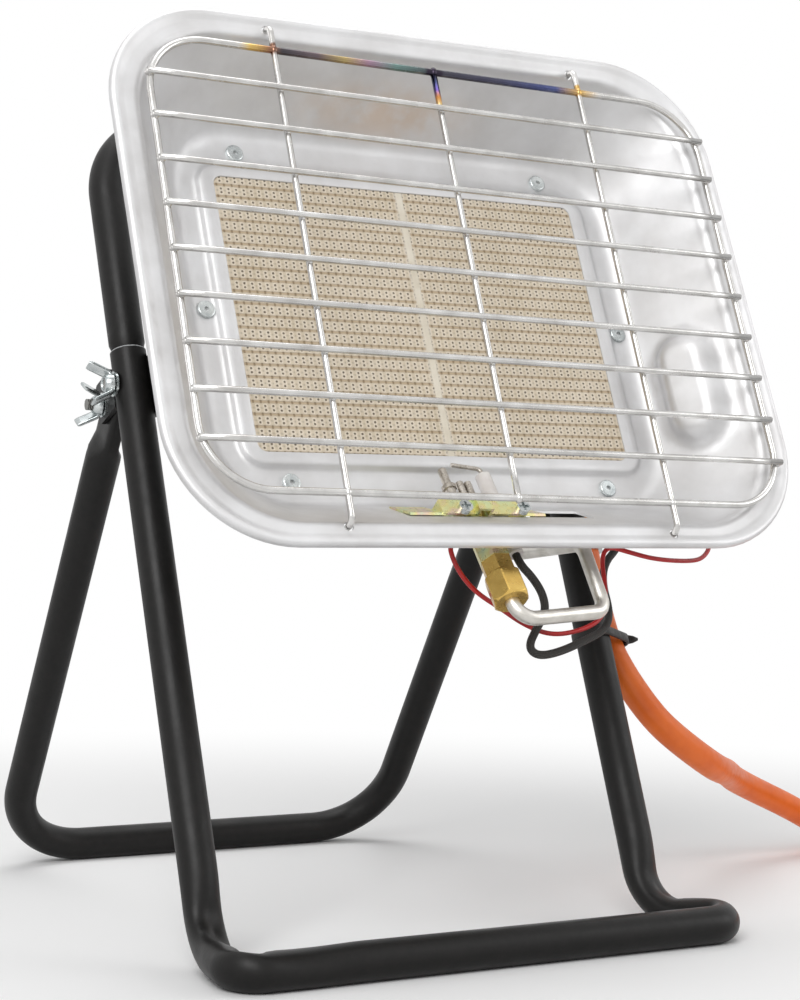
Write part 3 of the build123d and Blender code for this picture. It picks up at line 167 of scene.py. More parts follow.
class Graph:
    """A node material under construction round one Principled shader."""

    def __init__(self, name: str) -> None:
        """Start a material with its shader, its output and the piece's own coordinates.

        Args:
            name: the material's name.
        """
        self.material = bpy.data.materials.new(name)
        self.material.use_nodes = True
        self.tree = self.material.node_tree
        self.tree.nodes.clear()
        self.shader = self.tree.nodes.new("ShaderNodeBsdfPrincipled")
        self.output = self.tree.nodes.new("ShaderNodeOutputMaterial")
        self.tree.links.new(self.shader.outputs[0], self.output.inputs["Surface"])
        self.coords = self.tree.nodes.new("ShaderNodeTexCoord").outputs["Object"]

    def plug(self, socket: NodeSocket, value: object) -> None:
        """Link a socket to an input, or set the input's value; None leaves it alone."""
        if isinstance(value, NodeSocket):
            self.tree.links.new(value, socket)
        elif value is not None:
            socket.default_value = value

    def add(self, kind: str, *values: object, out: int | str = 0,
            stops: Sequence[tuple[float, str]] = (), **settings: object) -> NodeSocket:
        """Add a node with its settings and links.

        Args:
            kind: node type without the ShaderNode prefix.
            *values: input values or sockets in order; None leaves an input alone.
            out: the output to return.
            stops: a colour ramp's stops as (place, sRGB hex).
            **settings: node properties.

        Returns:
            The chosen output socket.
        """
        node = self.tree.nodes.new(f"ShaderNode{kind}")
        for key, value in settings.items():
            setattr(node, key, value)
        for index, value in enumerate(values):
            self.plug(node.inputs[index], value)
        if stops:
            elements = node.color_ramp.elements
            while len(elements) < len(stops):
                elements.new(0.5)
            for element, (place, code) in zip(elements, stops):
                element.position = place
                element.color = linear(code)
        return node.outputs[out]

    def stand_mm(self) -> NodeSocket:
        """The part's own coordinates in millimetres."""
        return self.add("Mapping", self.coords, None, None, (1 / MM,) * 3)

    def head_mm(self) -> NodeSocket:
        """The head's coordinates in millimetres: across, back, up the face."""
        turn = (-math.radians(HEAD_TILT_DEG), 0.0, 0.0)
        start = tuple(HEAD_ORIGIN * MM)
        return self.add("Mapping", self.coords, start, turn, (MM,) * 3, vector_type="TEXTURE")

    def surface(self, color: object, roughness: object, metallic: float = 0.0,
                specular: float = 0.5) -> Material:
        """Set the shader's main inputs.

        Args:
            color: the socket that gives the colour.
            roughness: a number, or the socket that gives it.
            metallic: 1 for bare metal, 0 for everything else.
            specular: how much light a surface that isn't metal throws back; 0.5 is plain gloss.

        Returns:
            The finished material.
        """
        self.plug(self.shader.inputs["Base Color"], color)
        self.plug(self.shader.inputs["Roughness"], roughness)
        self.shader.inputs["Metallic"].default_value = metallic
        self.shader.inputs["Specular IOR Level"].default_value = specular
        return self.material

    def relief(self, height: NodeSocket, depth_mm: float, edge_mm: float = 0.0) -> None:
        """Bump the surface and, where asked, round its sharp edges to the eye.

        Args:
            height: the socket that gives the height, from 0 to 1.
            depth_mm: what a height of 1 stands for.
            edge_mm: radius of the rounded edges; 0 leaves them sharp.
        """
        edge = self.add("Bevel", edge_mm * MM, samples=4) if edge_mm else None
        normal = self.add("Bump", 1.0, depth_mm * MM, None, height, edge)
        self.plug(self.shader.inputs["Normal"], normal)


@dataclass(frozen=True)
class MetalFinish:
    """A plated, drawn or turned metal: two tones that drift in soft patches, fine grain and eased edges.

    The patches keep bright parts from looking like chrome balls, and the eased edges catch a line of light.
    """

    name: str
    light: str
    dark: str
    polish: tuple[float, float]
    patch_mm: float = 20.0
    grain_mm: float = 1.11
    grain_depth_mm: float = 0.006
    edge_mm: float = 0.25
    handling: float = 6.0

    def build(self) -> Material:
        """Make the node material.

        Returns:
            The material.
        """
        g = Graph(self.name)
        where = g.stand_mm()
        patches = g.add("TexNoise", where, None, 1 / self.patch_mm, *CLOUDS)
        color = g.add("ValToRGB", patches, stops=[(0.32, self.dark), (0.68, self.light)])
        handled = g.add("TexNoise", where, None, self.handling / self.patch_mm, *DRIFT)
        gloss = g.add("MapRange", handled, *NOISE_SPAN, *self.polish, **SMOOTH)
        grain = g.add("TexNoise", where, None, 1 / self.grain_mm, *GRIT)
        g.relief(grain, self.grain_depth_mm, self.edge_mm)
        return g.surface(color, gloss, 1.0)


@dataclass(frozen=True)
class MatteFinish:
    """A moulded plastic, rubber, cement or glaze: gentle patches, its own fine texture and eased edges.

    The slow change of tone and gloss is what tells a handled surface from a flat colour.
    """

    name: str
    light: str
    dark: str
    roughness: tuple[float, float]
    grain_mm: float
    grain_depth_mm: float
    edge_mm: float = 0.2
    specular: float = 0.4
    patch_mm: float = 12.5
    handled_mm: float = 3.33

    def build(self) -> Material:
        """Make the node material.

        Returns:
            The material.
        """
        g = Graph(self.name)
        where = g.stand_mm()
        patches = g.add("TexNoise", where, None, 1 / self.patch_mm, *CLOUDS)
        color = g.add("ValToRGB", patches, stops=[(0.3, self.dark), (0.7, self.light)])
        handled = g.add("TexNoise", where, None, 1 / self.handled_mm, *DRIFT)
        gloss = g.add("MapRange", handled, *NOISE_SPAN, *self.roughness, **SMOOTH)
        grain = g.add("TexNoise", where, None, 1 / self.grain_mm, *DRIFT)
        g.relief(grain, self.grain_depth_mm, self.edge_mm)
        return g.surface(color, gloss, 0.0, self.specular)


@dataclass(frozen=True)
class BakedEnamel:
    """Satin black enamel baked on steel tube.

    Faint orange peel breaks the long highlight along each tube, and the gloss wanders where it is handled.

    Attributes:
        bare_and_highlight: tone of the exposed steel at a leg's cut end, light enough to be a painted
            highlight along that edge as well.
        specular: how much light the enamel throws back.
        gloss: roughness of the glossiest and of the dullest places.
        speck_mm: size of the specks of tone.
        handled_mm: size of the patches of gloss.
        peel_mm: size of the orange peel's dimples.
        dust_mm: size of the dust under the enamel.
        dust_share: the dust's height as a share of the peel's.
        peel_depth_mm: depth of the relief.
        edge_mm: radius of the eased edges.
        cut_end: the middle of the light line of exposed steel and painted highlight, mm; None where there is
            none.
    """

    name: str = "baked_black_enamel"
    light: str = "#141211"
    dark: str = "#0b0a09"
    bare_and_highlight: str = "#b9bbbc"
    specular: float = 0.26
    gloss: tuple[float, float] = (0.36, 0.48)
    speck_mm: float = 4.0
    handled_mm: float = 16.7
    peel_mm: float = 1.43
    dust_mm: float = 0.2
    dust_share: float = 0.25
    peel_depth_mm: float = 0.05
    edge_mm: float = 0.35
    cut_end: Vector | None = None

    def build(self) -> Material:
        """Make the node material.

        Returns:
            The material.
        """
        g = Graph(self.name)
        where = g.stand_mm()
        specks = g.add("TexNoise", where, None, 1 / self.speck_mm, 5.0, 0.7)
        color = g.add("ValToRGB", specks, stops=[(0.35, self.dark), (0.7, self.light)])
        # A light line at a leg's cut end: exposed steel, and a painted highlight along that edge.
        if self.cut_end is not None:
            color = self.wear_and_highlight(g, where, color)
        handled = g.add("TexNoise", where, None, 1 / self.handled_mm, *CLOUDS)
        gloss = g.add("MapRange", handled, *NOISE_SPAN, *self.gloss, **SMOOTH)
        dust = g.add("TexNoise", where, None, 1 / self.dust_mm, *GRIT)
        peel = g.add("TexNoise", where, None, 1 / self.peel_mm, *GRIT)
        low_dust = g.add("Math", dust, self.dust_share, operation="MULTIPLY")
        g.relief(g.add("Math", peel, low_dust, operation="ADD"), self.peel_depth_mm, self.edge_mm)
        return g.surface(color, gloss, 0.0, self.specular)

    def wear_and_highlight(self, g: Graph, where: NodeSocket, color: NodeSocket) -> NodeSocket:
        """Paint a ragged light line along a leg's cut end: exposed steel, and a painted highlight along that
        edge.

        Args:
            g: the material's graph.
            where: the place, mm.
            color: the enamel's colour.

        Returns:
            The colour with the light line painted in.
        """
        shifted = g.add("VectorMath", where, tuple(self.cut_end), operation="SUBTRACT")
        above = g.add("VectorMath", shifted, tuple(LEG_UP), out="Value", operation="DOT_PRODUCT")
        ragged = g.add("Math", g.add("TexNoise", where, None, 1 / 1.67, *GRIT), 0.5, operation="MULTIPLY")
        height = g.add("Math", above, ragged, operation="ADD")
        share = g.add("MapRange", height, -0.35, 0.1, 0.0, 0.85, **SMOOTH)
        return g.add("Mix", share, *TO_COLOURS, color, linear(self.bare_and_highlight), out=2, data_type="RGBA")


@dataclass(frozen=True)
class AluminisedSteel:
    """Satin aluminised sheet of the pressed dish.

    Rolling leaves long soft streaks, use leaves clouds, and the flame has left a tan tint above the plaques.

    Attributes:
        tint: tone of the heat tint.
        cloud: tone of the dull clouds.
        gloss: roughness of the brightest and of the dullest places.
        patch_mm: size of the patches of tone.
        cloud_mm: size of the dull clouds.
        gloss_mm: size of the patches of gloss.
        tint_at: the heat tint's middle, across and up the face, mm.
        tint_reach: how far it goes each way, mm.
        tint_break_mm: size of the gaps in it.
        tint_depth: it fades in between these depths of the dish, mm.
        streak_mm: a rolling streak's size across, back and up the face.
        pebble_mm: size of the coating's pebble, which is lower than the streaks.
        relief_mm: depth of the relief.
    """

    name: str = "aluminised_steel"
    light: str = "#d9d9da"
    dark: str = "#cac9c9"
    tint: str = "#c39a68"
    cloud: str = "#a8a6a4"
    gloss: tuple[float, float] = (0.46, 0.56)
    patch_mm: float = 28.6
    cloud_mm: float = 50.0
    gloss_mm: float = 16.7
    tint_at: tuple[float, float] = (-8.0, 96.0)
    tint_reach: tuple[float, float] = (46.0, 9.0)
    tint_break_mm: float = 11.1
    tint_depth: tuple[float, float] = (2.0, 26.0)
    streak_mm: tuple[float, float, float] = (2.86, 0.5, 0.222)
    pebble_mm: float = 0.625
    relief_mm: float = 0.03

    def build(self) -> Material:
        """Make the node material.

        Returns:
            The material.
        """
        g = Graph(self.name)
        where = g.head_mm()
        patches = g.add("TexNoise", where, None, 1 / self.patch_mm, *CLOUDS)
        tone = g.add("ValToRGB", patches, stops=[(0.3, self.dark), (0.7, self.light)])
        heat = self.heat(g, where)
        tinted = g.add("Mix", heat, *TO_COLOURS, tone, linear(self.tint), out=2, data_type="RGBA")
        clouds = g.add("TexNoise", where, None, 1 / self.cloud_mm, 5.0, 0.65)
        dull = g.add("MapRange", clouds, 0.45, 0.8, 0.0, 0.3, **SMOOTH)
        color = g.add("Mix", dull, *TO_COLOURS, tinted, linear(self.cloud), out=2, data_type="RGBA")
        handled = g.add("TexNoise", where, None, 1 / self.gloss_mm, *CLOUDS)
        gloss = g.add("MapRange", handled, *NOISE_SPAN, *self.gloss, **SMOOTH)
        drawn_out = g.add("Mapping", where, None, None, tuple(1 / size for size in self.streak_mm))
        streaks = g.add("TexNoise", drawn_out, None, 1.0, *DRIFT)
        pebble = g.add("TexNoise", where, None, 1 / self.pebble_mm, *GRIT)
        low_pebble = g.add("Math", pebble, 0.8, operation="MULTIPLY")
        g.relief(g.add("Math", streaks, low_pebble, operation="ADD"), self.relief_mm)
        return g.surface(color, gloss, 0.9)

    def heat(self, g: Graph, where: NodeSocket) -> NodeSocket:
        """How much of the heat tint a place shows.

        Args:
            g: the material's graph.
            where: the place in the head's coordinates, mm.

        Returns:
            A share from 0 to 1: an oval on the top wall, broken up by noise.
        """
        across, back, up = (g.add("SeparateXYZ", where, out=i) for i in range(3))
        offsets = []
        for place, middle, reach in zip((across, up), self.tint_at, self.tint_reach):
            shifted = g.add("Math", place, middle, operation="SUBTRACT")
            offsets.append(g.add("Math", shifted, reach, operation="DIVIDE"))
        away = g.add("VectorMath", g.add("CombineXYZ", *offsets), out="Value", operation="LENGTH")
        oval = g.add("MapRange", away, 1.3, 0.1, 0.0, 1.0, **SMOOTH)
        gaps = g.add("TexNoise", where, None, 1 / self.tint_break_mm, *DRIFT)
        broken = g.add("MapRange", gaps, 0.3, 0.62, 0.12, 0.4, **SMOOTH)
        deep = g.add("MapRange", back, *self.tint_depth, 0.0, 1.0, **SMOOTH)
        spot = g.add("Math", oval, broken, operation="MULTIPLY")
        return g.add("Math", spot, deep, operation="MULTIPLY")


@dataclass(frozen=True)
class TemperedWire:
    """Bright plated guard wire with temper colours.

    Heat has run straw, brown, violet and blue along the top of the ring and down the middle upright.

    Attributes:
        clean: tone of the bright plate.
        dull: tone of its duller patches.
        gloss: roughness of the brightest and of the dullest places.
        ring_span: the ring's stretch that ring_colours covers, mm across.
        ring_colours: temper colours along the top of the ring, as shares of that stretch.
        ring_slope: how much the guard's slight turn raises the ring, mm for each mm across.
        ring_top: the temper fades in over this height, just below the ring's top, mm up the face.
        hook_foot: it fades out over this height, so that the hooks above stay clean.
        stem_at: the middle upright's place, mm across.
        stem_span: the upright's stretch that stem_colours covers, mm up the face.
        stem_colours: temper colours up the middle upright, as shares of that stretch.
    """

    name: str = "plated_wire"
    clean: str = "#dbdad8"
    dull: str = "#bbb9b6"
    gloss: tuple[float, float] = (0.2, 0.28)
    ring_span: tuple[float, float] = (-92.0, 92.0)
    ring_colours: tuple[tuple[float, str], ...] = (
        (0.05, "#d9b45c"), (0.10, "#8a5a3c"), (0.13, "#2e2a33"), (0.22, "#5b4a52"), (0.29, "#a8925a"),
        (0.35, "#96748a"), (0.42, "#5f7f7a"), (0.52, "#2c2a38"), (0.70, "#2f2f4c"), (0.86, "#35437c"),
        (0.93, "#c9a050"))
    ring_slope: float = 0.0157
    ring_top: tuple[float, float] = (96.8, 99.0)
    hook_foot: tuple[float, float] = (104.6, 103.0)
    stem_at: float = 4.3
    stem_span: tuple[float, float] = (78.0, 99.0)
    stem_colours: tuple[tuple[float, str], ...] = (
        (0.2, "#e2cf9a"), (0.42, "#c98a4a"), (0.6, "#5b4a8c"), (0.8, "#34406c"), (1.0, "#3a3440"))

    def build(self) -> Material:
        """Make the node material.

        Returns:
            The material.
        """
        g = Graph(self.name)
        where = g.head_mm()
        across, _, up = (g.add("SeparateXYZ", where, out=i) for i in range(3))
        patches = g.add("TexNoise", where, None, 1 / 12.5, *DRIFT)
        bright = g.add("ValToRGB", patches, stops=[(0.3, self.dull), (0.7, self.clean)])
        ring_colour = g.add("ValToRGB", g.add("MapRange", across, *self.ring_span),
                            stops=[(0.0, self.clean), *self.ring_colours, (1.0, self.clean)])
        ring_heat = self.ring_heat(g, where, across, up)
        heated = g.add("Mix", ring_heat, *TO_COLOURS, bright, ring_colour, out=2, data_type="RGBA")
        stem_colour = g.add("ValToRGB", g.add("MapRange", up, *self.stem_span),
                            stops=[(0.0, self.clean), *self.stem_colours])
        aside = g.add("Math", g.add("Math", across, self.stem_at, operation="SUBTRACT"), operation="ABSOLUTE")
        near = g.add("MapRange", aside, 5.0, 3.0, 0.0, 1.0, **SMOOTH)
        high = g.add("MapRange", up, 80.0, 84.0, 0.0, 1.0, **SMOOTH)
        stem_heat = g.add("Math", near, high, operation="MULTIPLY")
        color = g.add("Mix", stem_heat, *TO_COLOURS, heated, stem_colour, out=2, data_type="RGBA")
        handled = g.add("TexNoise", where, None, 1 / 3.33, *DRIFT)
        return g.surface(color, g.add("MapRange", handled, *NOISE_SPAN, *self.gloss, **SMOOTH), 1.0)

    def ring_heat(self, g: Graph, where: NodeSocket, across: NodeSocket, up: NodeSocket) -> NodeSocket:
        """How much of the ring's temper colours a place shows.

        Args:
            g: the material's graph.
            where: the place in the head's coordinates, mm.
            across: its first coordinate.
            up: its third coordinate.

        Returns:
            A share from 0 to 1, with a wandering lower edge.
        """
        noise = g.add("Math", g.add("TexNoise", where, None, 1 / 8.33, *GRIT), 0.5, operation="SUBTRACT")
        wander = g.add("Math", noise, 3.0, operation="MULTIPLY")
        slope = g.add("Math", across, self.ring_slope, operation="MULTIPLY")
        level = g.add("Math", up, g.add("Math", slope, wander, operation="ADD"), operation="ADD")
        start, end = self.ring_span
        limits = (
            g.add("MapRange", level, *self.ring_top, 0.0, 0.92, **SMOOTH),
            g.add("MapRange", level, *self.hook_foot, 0.0, 1.0, **SMOOTH),
            g.add("MapRange", across, start + 2.0, start + 10.0, 0.0, 1.0, **SMOOTH),
            g.add("MapRange", across, end, end - 8.0, 0.0, 1.0, **SMOOTH),
        )
        share = limits[0]
        for limit in limits[1:]:
            share = g.add("Math", share, limit, operation="MULTIPLY")
        return share


@dataclass(frozen=True)
class PerforatedCeramic:
    """Fired cordierite plaque, pressed with gas holes.

    Bands of paired holes in pale rings, 3.5 mm apart along a band, lie between grooves 5.65 mm apart; painted
    brown shade darkens the grooves, and painted shade darkens their pits and the holes.
    The holes are drawn about a third wider than the real ones so that their painted shade still shows as dots
    in the render.

    Attributes:
        column_mm: distance between holes along a band.
        band_mm: distance between bands.
        hole_off_mm: a hole's distance from its band's middle line.
        ring_mm: radius of the pale ring round a hole.
        body_dark: tone of the darker patches.
        body_light: tone of the lighter patches.
        ring: tone of the ring.
        groove: painted shade in the groove between bands.
        pit: painted shade in the pits in the groove.
        seam: tone of the faint dots between two pairs of holes.
        hole: painted shade in a hole.
        cement: tone of the cement smeared over the plaques beside their joint.
        joint_u: the joint's place, mm across.
    """

    name: str = "perforated_ceramic"
    column_mm: float = 3.5
    band_mm: float = 5.65
    hole_off_mm: float = 0.92
    ring_mm: float = 0.85
    body_dark: str = "#cbbda6"
    body_light: str = "#dacdb9"
    ring: str = "#e9dfd0"
    groove: str = "#b39c7c"
    pit: str = "#7a654a"
    seam: str = "#8a8372"
    hole: str = "#5b5245"
    cement: str = "#dcd3c4"
    joint_u: float = 0.0

    def cell(self, g: Graph, value: NodeSocket, pitch: float, shift: float) -> NodeSocket:
        """Distance, with its sign, from the middle of the repeat that a place lies in.

        Args:
            g: the material's graph.
            value: the place, mm.
            pitch: length of a repeat, mm.
            shift: where a repeat starts, in repeats; large enough to keep the sum above zero.

        Returns:
            The distance, mm.
        """
        turns = g.add("Math", g.add("Math", value, pitch, operation="DIVIDE"), shift, operation="ADD")
        centred = g.add("Math", g.add("Math", turns, operation="FRACT"), 0.5, operation="SUBTRACT")
        return g.add("Math", centred, pitch, operation="MULTIPLY")

    def away(self, g: Graph, first: NodeSocket, second: NodeSocket) -> NodeSocket:
        """Length of the vector with two given parts."""
        return g.add("VectorMath", g.add("CombineXYZ", first, second, 0.0), out="Value", operation="LENGTH")

    def build(self) -> Material:
        """Make the node material.

        Returns:
            The material.
        """
        g = Graph(self.name)
        where = g.head_mm()
        across, _, up = (g.add("SeparateXYZ", where, out=i) for i in range(3))
        wobble = g.add("Math", g.add("TexNoise", where, None, 0.5, 1.0, 0.55), 0.5, operation="SUBTRACT")
        drift = g.add("Math", wobble, 0.35, operation="MULTIPLY")
        x = self.cell(g, g.add("Math", across, drift, operation="ADD"), self.column_mm, 50.0)
        z = self.cell(g, g.add("Math", up, drift, operation="ADD"), self.band_mm, 50.37)
        off_band = g.add("Math", z, operation="ABSOLUTE")
        off_column = g.add("Math", x, operation="ABSOLUTE")
        to_side = g.add("Math", off_column, self.column_mm / 2, operation="SUBTRACT")
        hole = self.away(g, x, g.add("Math", off_band, self.hole_off_mm, operation="SUBTRACT"))
        pit = self.away(g, to_side, g.add("Math", off_band, 2.55, operation="SUBTRACT"))
        between = self.away(g, to_side, g.add("Math", off_band, 0.1, operation="SUBTRACT"))
        rim = g.add("Math", g.add("Math", hole, self.ring_mm, operation="SUBTRACT"), operation="ABSOLUTE")
        groove = g.add("MapRange", off_band, 1.95, 2.7, 0.0, 1.0, **SMOOTH)
        from_joint = g.add("Math", across, self.joint_u, operation="SUBTRACT")
        beside = g.add("Math", from_joint, operation="ABSOLUTE")
        ragged = g.add("Math", g.add("TexNoise", where, None, 0.35, *DRIFT), 3.2, operation="MULTIPLY")
        off_joint = g.add("Math", beside, ragged, operation="SUBTRACT")
        # Each later layer covers the ones before it. The groove, pit and hole layers are painted shade in
        # those hollows.
        layers = (
            (g.add("MapRange", rim, 0.40, 0.05, 0.0, 0.65, **SMOOTH), self.ring),
            (g.add("Math", groove, 0.62, operation="MULTIPLY"), self.groove),
            (g.add("MapRange", pit, 0.75, 0.25, 0.0, 0.7, **SMOOTH), self.pit),
            (g.add("MapRange", between, 0.5, 0.2, 0.0, 0.4, **SMOOTH), self.seam),
            (g.add("MapRange", hole, 0.52, 0.30, 0.0, 0.88, **SMOOTH), self.hole),
            (g.add("MapRange", off_joint, 0.9, 0.1, 0.0, 0.9, **SMOOTH), self.cement),
        )
        patches = g.add("TexNoise", where, None, 0.06, *CLOUDS)
        color = g.add("ValToRGB", patches, stops=[(0.3, self.body_dark), (0.7, self.body_light)])
        for share, code in layers:
            color = g.add("Mix", share, *TO_COLOURS, color, linear(code), out=2, data_type="RGBA")
        sunk = g.add("Math", groove, 0.8, operation="MULTIPLY")
        open_hole = g.add("MapRange", hole, 0.25, 0.6, 0.0, 1.0, **SMOOTH)
        rise = g.add("Math", open_hole, sunk, operation="SUBTRACT")
        grit = g.add("Math", g.add("TexNoise", where, None, 2.5, *DRIFT), 0.3, operation="MULTIPLY")
        g.relief(g.add("Math", rise, grit, operation="ADD"), 0.45)
        return g.surface(color, 0.85, 0.0, 0.25)


@dataclass(frozen=True)
class YellowPassivate:
    """Yellow-passivated zinc plate on pressed brackets.

    Interference in the thin film gives straw that drifts to green and rose over bright steel.
    """

    name: str = "yellow_passivated_zinc"
    film: tuple[tuple[float, str], ...] = (
        (0.28, "#b5c9ae"), (0.42, "#d2d8a6"), (0.52, "#dcd394"), (0.62, "#dcc3b0"), (0.74, "#c6d0b2"))
    film_mm: float = 9.1
    gloss: tuple[float, float] = (0.24, 0.4)
    gloss_mm: float = 2.0
    grain_mm: float = 1.25

    def build(self) -> Material:
        """Make the node material.

        Returns:
            The material.
        """
        g = Graph(self.name)
        where = g.stand_mm()
        color = g.add("ValToRGB", g.add("TexNoise", where, None, 1 / self.film_mm, 3.0, 0.5), stops=self.film)
        handled = g.add("TexNoise", where, None, 1 / self.gloss_mm, *DRIFT)
        gloss = g.add("MapRange", handled, *NOISE_SPAN, *self.gloss, **SMOOTH)
        g.relief(g.add("TexNoise", where, None, 1 / self.grain_mm, *GRIT), 0.008, 0.3)
        return g.surface(color, gloss, 1.0)


@dataclass(frozen=True)
class SpangledSheet:
    """Hot-dip galvanised sheet: crystals about 6 mm across, each a slightly different dull grey."""

    name: str = "galvanised_sheet"
    crystal_mm: float = 6.0
    grain_mm: float = 0.714
    dark: str = "#9da1a2"
    light: str = "#bfc2c2"

    def build(self) -> Material:
        """Make the node material.

        Returns:
            The material.
        """
        g = Graph(self.name)
        where = g.stand_mm()
        crystal = g.add("TexVoronoi", where, None, 1 / self.crystal_mm, out="Color")
        grey = g.add("RGBToBW", crystal)
        color = g.add("ValToRGB", grey, stops=[(0.1, self.dark), (0.9, self.light)])
        g.relief(g.add("TexNoise", where, None, 1 / self.grain_mm, *DRIFT), 0.03, 0.3)
        return g.surface(color, g.add("MapRange", grey, 0.1, 0.9, 0.36, 0.52, **SMOOTH), 1.0)


@dataclass(frozen=True)
class RolledThread:
    """Zinc-plated bolt with a rolled thread: painted shade on its flanks and a painted highlight on its thin
    crests.
    """

    name: str
    start: Vector
    axis: Vector
    pitch_mm: float = 0.8
    shaded_flank: str = "#4b4844"
    lit_crest: str = "#a3a29e"

    def build(self) -> Material:
        """Make the node material.

        Returns:
            The material.
        """
        g = Graph(self.name)
        where = g.stand_mm()
        shifted = g.add("VectorMath", where, tuple(self.start), operation="SUBTRACT")
        along = g.add("VectorMath", shifted, tuple(self.axis), out="Value", operation="DOT_PRODUCT")
        thread = g.add("Math", along, self.pitch_mm / 2, operation="PINGPONG")
        height = g.add("MapRange", thread, 0.0, self.pitch_mm / 2, 0.0, 1.0)
        # Painted shade on the thread's flanks and a painted highlight on its crests.
        color = g.add("ValToRGB", height, stops=[(0.2, self.shaded_flank), (0.9, self.lit_crest)])
        g.relief(thread, 1.0, 0.2)
        return g.surface(color, 0.36, 1.0)


@dataclass(frozen=True)
class WovenSleeve:
    """Woven glass-fibre sleeve, varnished black: crossing threads, drawn 1.2 mm apart so that they show, with
    painted shade between the threads and a painted highlight on their tops.
    """

    name: str = "woven_sleeve"
    thread_mm: float = 1.208
    low: str = "#151412"
    high: str = "#3b3835"

    def build(self) -> Material:
        """Make the node material.

        Returns:
            The material.
        """
        g = Graph(self.name)
        x, y, z = (g.add("SeparateXYZ", g.stand_mm(), out=i) for i in range(3))
        flat = g.add("Math", y, z, operation="ADD")
        threads = []
        for crossing in ("ADD", "SUBTRACT"):
            place = g.add("Math", x, flat, operation=crossing)
            turn = g.add("Math", place, 2 * math.pi / self.thread_mm, operation="MULTIPLY")
            threads.append(g.add("Math", turn, operation="SINE"))
        weave = g.add("Math", *threads, operation="MULTIPLY")
        height = g.add("MapRange", weave, -0.8, 0.8)
        # The low tone is painted shade between the threads, the high one a painted highlight on their tops.
        color = g.add("ValToRGB", height, stops=[(0.0, self.low), (1.0, self.high)])
        g.relief(weave, 0.12)
        return g.surface(color, 0.6, 0.0, 0.4)


FINISHES = {
    Slot.BLACK_STEEL: BakedEnamel(),
    Slot.REFLECTOR: AluminisedSteel(),
    Slot.WIRE: TemperedWire(),
    Slot.PLAQUE: PerforatedCeramic(),
    # Dry trowelled cement: chalky, with no highlight.
    Slot.JOINT: MatteFinish("joint_cement", "#e6dfd0", "#d2c8b5", (0.75, 0.9), 0.833, 0.15),
    # Bright zinc plate: cool and clear, with soft darker patches.
    Slot.ZINC: MetalFinish("bright_zinc", "#d6dad9", "#aab0b1", (0.2, 0.3), 8.33, grain_depth_mm=0.003,
                           edge_mm=0.12),
    Slot.YELLOW_ZINC: YellowPassivate(),
    Slot.GALVANISED: SpangledSheet(),
    # Turned brass: warm and bright, with well eased hexagon edges.
    Slot.BRASS: MetalFinish("turned_brass", "#e0bd6c", "#c9a254", (0.18, 0.28), 10.0, grain_depth_mm=0.002,
                            edge_mm=0.4),
    # Drawn aluminium pipe: satin, slightly warm, with faint draw marks.
    Slot.ALUMINIUM: MetalFinish("drawn_aluminium", "#dcd9d3", "#bdb9b1", (0.3, 0.42), 11.1, 1.67, 0.012),
    # Moulded plastic: near black, with a fine spark-eroded texture.
    Slot.PLASTIC: MatteFinish("moulded_plastic", "#242220", "#161514", (0.42, 0.6), 0.4, 0.05, 0.4),
    # Glazed ceramic: glossy, off white.
    Slot.GLAZED: MatteFinish("glazed_insulator", "#e2dedb", "#cfc9c5", (0.14, 0.24), 1.67, 0.02, 0.3, 0.6),
    # Silicone wire insulation: deep red with a soft sheen.
    Slot.RED: MatteFinish("silicone_insulation", "#bc1414", "#960d0f", (0.34, 0.48), 0.667, 0.03, 0.0, 0.5),
    Slot.SLEEVE: WovenSleeve(),
    # Extruded rubber: smooth, clear orange, a little dusty.
    Slot.ORANGE: MatteFinish("extruded_rubber", "#ee7426", "#e0651b", (0.36, 0.5), 0.556, 0.03, 0.0, 0.45),
    # Stainless steel that has been heated: warm grey, half dull.
    Slot.STAINLESS: MetalFinish("stainless_steel", "#c9c3bb", "#958e84", (0.24, 0.4), 5.0),
}


